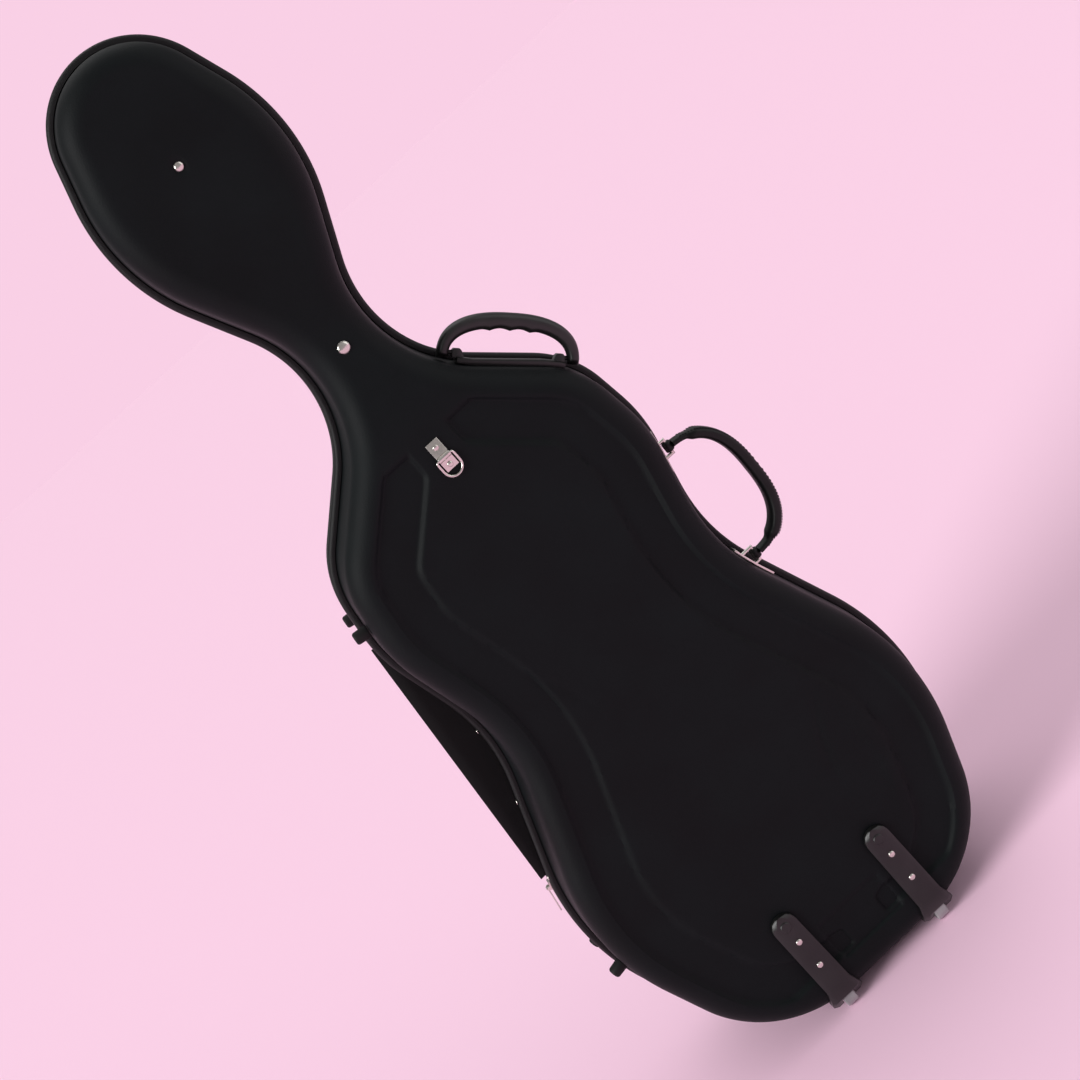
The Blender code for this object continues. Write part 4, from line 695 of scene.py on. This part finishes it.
def make_grip():
    """Bow between an outer and an inner curve; finger ridges stand in from the inner one."""
    middle, along = np.array(GRIP_MIDDLE), np.array(GRIP_ALONG)
    out = np.array([-along[1], along[0]])
    angle = np.linspace(0.0, math.pi, 161)
    c, s = np.cos(angle), np.maximum(np.sin(angle), 0.0)
    lean = np.sign(c) * np.abs(c) ** GRIP_BOW
    outer = np.stack([GRIP_SPAN * lean, GRIP_FOOT + (GRIP_RISE - GRIP_FOOT) * s ** GRIP_BOW], axis=1)
    inner_t = GRIP_INNER_SPAN * lean
    ridge = FINGER_DEPTH * (1 - np.abs(np.sin(math.pi * inner_t / FINGER_PITCH)))
    ridge = np.where(np.abs(inner_t) < FINGER_PITCH * 1.5, ridge, 0.0)
    inner = np.stack([inner_t, GRIP_FOOT + (GRIP_INNER_RISE - GRIP_FOOT) * s ** GRIP_BOW - ridge], axis=1)
    low = smooth(outer[:, 1], GRIP_FOOT, GRIP_PIVOT - GRIP_FOOT)
    thickness = GRIP_END_THICKNESS + (GRIP_THICKNESS * (0.8 + 0.2 * s) - GRIP_END_THICKNESS) * low
    turn = np.linspace(0.0, 2 * math.pi, 36, endpoint=False)
    cos, sin = superellipse(turn, GRIP_FULLNESS)
    share = 0.5 + 0.5 * cos
    tn = inner[:, None, :] + (outer - inner)[:, None, :] * share[None, :, None]
    flat = middle + tn[..., :1] * along + tn[..., 1:] * out
    y = -GRIP_BACK + thickness[:, None] / 2 * sin[None, :]
    rings = capped(place(flat[..., 0], y, flat[..., 1]))
    item = piece("grip_bow", [(rings, band_faces(rings.shape[0], rings.shape[1]))], "black_plastic", 60.0)
    give(item, "grip_handle", "black_plastic", "grip_handle")


def carry_curve(angle):
    """Middle line of the carry handle, its half thickness, half width and outward direction."""
    low, high = np.array(CARRY_LOW), np.array(CARRY_HIGH)
    span = np.linalg.norm(high - low)
    along = (high - low) / span
    out = np.array([along[1], -along[0]])
    c, s = np.cos(angle), np.sin(angle)
    padded = smooth(s, *CARRY_PADDING)
    half = (CARRY_STRAP + (CARRY_SLEEVE - CARRY_STRAP) * padded) / 2
    width = (CARRY_STRAP_WIDTH + (CARRY_SLEEVE_WIDTH - CARRY_STRAP_WIDTH) * padded) / 2
    spread = -np.sign(c) * np.abs(c) ** CARRY_SPREAD * span / 2
    rise = (CARRY_REACH - CARRY_SLEEVE / 2) * s ** CARRY_BOW
    spot = (low + high) / 2 + spread[:, None] * along + rise[:, None] * out
    radial = -0.5 * c[:, None] * along + s[:, None] * out
    return spot, half, width, radial / np.linalg.norm(radial, axis=1, keepdims=True), along


def make_carry_handle():
    """Sleeve swept along the curve with a rounded-box section, and an eye round each staple's bar."""
    angle = np.linspace(CARRY_END_TURN, math.pi - CARRY_END_TURN, 121)
    spot, half, width, radial, along = carry_curve(angle)
    turn = np.linspace(0.0, 2 * math.pi, 32, endpoint=False)
    cos, sin = superellipse(turn, CARRY_FULLNESS)
    flat = spot[:, None, :] + radial[:, None, :] * (half[:, None] * cos[None, :])[..., None]
    rings = capped(place(flat[..., 0], -CARRY_BACK + width[:, None] * sin[None, :], flat[..., 1]))
    parts = [(rings, band_faces(rings.shape[0], rings.shape[1]))]
    bore = AXLE_RADIUS
    half_eye, rim = EYE_WIDTH / 2, EYE_RADIUS - EYE_CHAMFER
    profile = [(bore, -half_eye), (rim, -half_eye), (EYE_RADIUS, -half_eye + EYE_CHAMFER),
               (EYE_RADIUS, half_eye - EYE_CHAMFER), (rim, half_eye), (bore, half_eye)]
    for end in (CARRY_LOW, CARRY_HIGH):
        centre = place(end[0], -CARRY_BACK, end[1])
        points = turned_points(profile, centre, (along[0], 0.0, along[1]), 24)
        parts.append((points, band_faces(len(profile), 24, wrap_rows=True)))
    item = piece("carry_sleeve", parts, "handle_leatherette", 50.0)
    give(item, "carry_handle", "handle_leatherette", "carry_handle")
    make_stitches(spot, half, width, radial)


def make_stitches(spot, half, width, radial):
    """Raised stitches along both edges of the sleeve's outer side."""
    parts = []
    ball = [(STITCH_RADIUS * across, STITCH_HALF * at)
            for across, at in ((0.0, -1.0), (0.7, -0.75), (1.0, 0.0), (0.7, 0.75), (0.0, 1.0))]
    for index in range(STITCH_MARGIN, len(spot) - STITCH_MARGIN, STITCH_PITCH):
        direction = spot[index + 1] - spot[index - 1]
        for sign in (-1, 1):
            flat = spot[index] + radial[index] * half[index] * STITCH_LIFT
            centre = place(flat[0], -CARRY_BACK + sign * width[index] * STITCH_SPREAD, flat[1])
            points = turned_points(ball, centre, (direction[0], 0.0, direction[1]), 6)
            parts.append((points, band_faces(len(ball), 6)))
    give(piece("carry_stitching", parts, "webbing"), "carry_handle", "webbing")


# Small metal, wheels and feet

def make_rivet(node, body="back"):
    """Domed rivet in the place of its node, with its dome on the side that faces out."""
    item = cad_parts[node]
    points = np.array([item.matrix_world @ v.co for v in item.data.vertices])
    middle = points.mean(axis=0)
    spread = points - middle
    axes = np.linalg.svd(spread, full_matrices=False)[2]
    axis = axes[2]
    heights = spread @ axis
    radii = np.linalg.norm(spread - heights[:, None] * axis, axis=1)
    if radii[heights > heights.max() - 1e-5].max() > radii[heights < heights.min() + 1e-5].max():
        axis, heights = -axis, -heights
    radius, height = radii.max(), heights.max() - heights.min()
    base = middle + axis * heights.min()
    profile = [(0.0, 0.0)] + [(radius * across, height * up) for across, up in RIVET_COLLAR]
    profile += [(radius * DOME_SHARE * math.cos(a), height * (DOME_START + (1 - DOME_START) * math.sin(a)))
                for a in np.linspace(0.0, math.pi / 2, 9)]
    made = turned(node + "_head", profile, base, axis, "nickel", 32)
    give(made, body, "nickel", node)


def make_wheel(side_name, sign):
    """Soft wheel with rounded shoulders, a sunk web and a hub."""
    half, bore, tread, sink = WHEEL_HALF, AXLE_RADIUS + GAP, WHEEL_RADIUS - TREAD_HEIGHT, WHEEL_SINK
    side = [(bore, -half), (HUB_RADIUS, -half), (HUB_RADIUS + 0.4 * sink, -half + 0.4 * sink),
            (HUB_RADIUS + 0.5 * sink, -half + sink), (tread, -half + sink),
            (tread + 0.3 * sink, -half + 0.3 * sink), (tread + 0.6 * sink, -half)]
    shoulder = [(WHEEL_RADIUS - sink + sink * math.sin(a), -half + sink - sink * math.cos(a))
                for a in np.linspace(0.0, math.pi / 2, 7)]
    near = side + shoulder
    profile = near + [(radius, -distance) for radius, distance in reversed(near)]
    centre = place(sign * WHEEL_X, WHEEL_Y, WHEEL_Z)
    item = turned("wheel_tread_" + side_name, profile, centre, (1, 0, 0), "wheel_grey", 64, closed=True)
    give(item, "wheel_" + side_name, "wheel_grey", "wheel_" + side_name)


def make_pad(node):
    """Foam pad with soft edges, in the place of its node."""
    item = refined(node, node + "_foam", "foam_pad", "back", PAD_ROUNDING, 25.0)
    soft = item.modifiers.new("soft", "SUBSURF")
    soft.levels = 1
    soft.render_levels = 1
    settled(item)


def make_pieces():
    """Every piece of the case, each on its body."""
    make_shells()
    for name, side, body in (("back", -1, "back"), ("front", 1, "lid")):
        make_rim(name + "_binding", side, body, name + "_zip_rim")
        make_teeth(name + "_teeth", side, body, 0 if side < 0 else 1)
        refined(name + "_hinge_web", name + "_web", "webbing", body, THIN_ROUNDING)
    make_grip()
    make_carry_handle()
    for side_name, sign in (("left", -1), ("right", 1)):
        make_wheel(side_name, sign)
        refined("wheel_bracket_" + side_name, "bracket_" + side_name, "black_plastic", "back",
                MOULDED_ROUNDING)
        refined("wheel_axle_" + side_name, "axle_" + side_name, "nickel", "back", THIN_ROUNDING)
        refined("base_foot_" + side_name, "foot_" + side_name, "black_rubber", "lid", MOULDED_ROUNDING)
        for number in (1, 2):
            make_rivet(f"bracket_rivet_{side_name}_{number}")
    for height in ("low", "high"):
        refined("side_foot_back_" + height, "back_foot_" + height, "black_rubber", "back", MOULDED_ROUNDING)
        refined("side_foot_front_" + height, "front_foot_" + height, "black_rubber", "lid", MOULDED_ROUNDING)
        refined("carry_staple_" + height, "staple_" + height, "nickel", "back", STAPLE_ROUNDING)
    for number in (1, 2, 3):
        make_rivet(f"web_rivet_{number}")
    for node in ("d_ring_rivet_1", "d_ring_rivet_2", "neck_rivet", "head_rivet"):
        make_rivet(node)
    refined("grip_base", "grip_seat", "black_plastic", "back", MOULDED_ROUNDING)
    refined("d_ring_plate", "ring_plate", "nickel", "back", THIN_ROUNDING)
    refined("d_ring", "ring_wire", "nickel", "d_ring", levels=2)
    refined("zip_slider", "slider", "nickel", "back", THIN_ROUNDING)
    refined("zip_pull", "pull_tab", "nickel", "zip_pull", THIN_ROUNDING)
    refined("neck_strap", "cradle_strap", "webbing", "back", STRAP_ROUNDING)
    for node in ("neck_cradle", "shoulder_pad_left", "shoulder_pad_right", "base_pad"):
        make_pad(node)


# Floor, light and camera

def make_stage():
    """Pale floor, pale backdrop and soft lamps that shine on the middle of the case."""
    bpy.ops.mesh.primitive_plane_add(size=FLOOR_SIZE)
    floor = bpy.context.object
    floor.name = "floor"
    surface = bpy.data.materials.new("pale_floor")
    surface.use_nodes = True
    shader = surface.node_tree.nodes["Principled BSDF"]
    shader.inputs["Base Color"].default_value = PALE_PINK
    shader.inputs["Roughness"].default_value = 0.9
    floor.data.materials.append(surface)
    world = bpy.data.worlds.new("studio")
    world.use_nodes = True
    bpy.context.scene.world = world
    tree = world.node_tree
    tree.nodes["Background"].inputs["Color"].default_value = (1.0, 0.96, 0.98, 1.0)
    tree.nodes["Background"].inputs["Strength"].default_value = ROOM_LIGHT
    seen = tree.nodes.new("ShaderNodeBackground")
    seen.inputs["Color"].default_value = BACKDROP
    seen.inputs["Strength"].default_value = 1.0
    rays = tree.nodes.new("ShaderNodeLightPath")
    mix = tree.nodes.new("ShaderNodeMixShader")
    tree.links.new(rays.outputs["Is Camera Ray"], mix.inputs[0])
    tree.links.new(tree.nodes["Background"].outputs[0], mix.inputs[1])
    tree.links.new(seen.outputs[0], mix.inputs[2])
    tree.links.new(mix.outputs[0], tree.nodes["World Output"].inputs["Surface"])
    for name, spot, spread, power in LAMPS:
        lamp = bpy.data.lights.new(name, "SUN")
        lamp.angle = math.radians(spread)
        lamp.energy = power
        item = bpy.data.objects.new(name, lamp)
        item.location = spot
        item.rotation_euler = (Vector(LAMP_AIM) - Vector(spot)).to_track_quat("-Z", "Y").to_euler()
        bpy.context.collection.objects.link(item)


def make_camera():
    """Camera at the photograph's angle."""
    lens = bpy.data.cameras.new("photo_view")
    lens.lens = LENS_MM
    lens.sensor_width = SENSOR_MM
    camera = bpy.data.objects.new("photo_view", lens)
    bpy.context.collection.objects.link(camera)
    axes = Matrix((CAMERA_RIGHT, CAMERA_UP, CAMERA_BACK)).transposed().to_4x4()
    camera.matrix_world = Matrix.Translation(CAMERA_AT) @ axes
    bpy.context.scene.camera = camera
    bpy.context.scene.view_settings.view_transform = "Standard"


make_camera()
make_pieces()
make_stage()
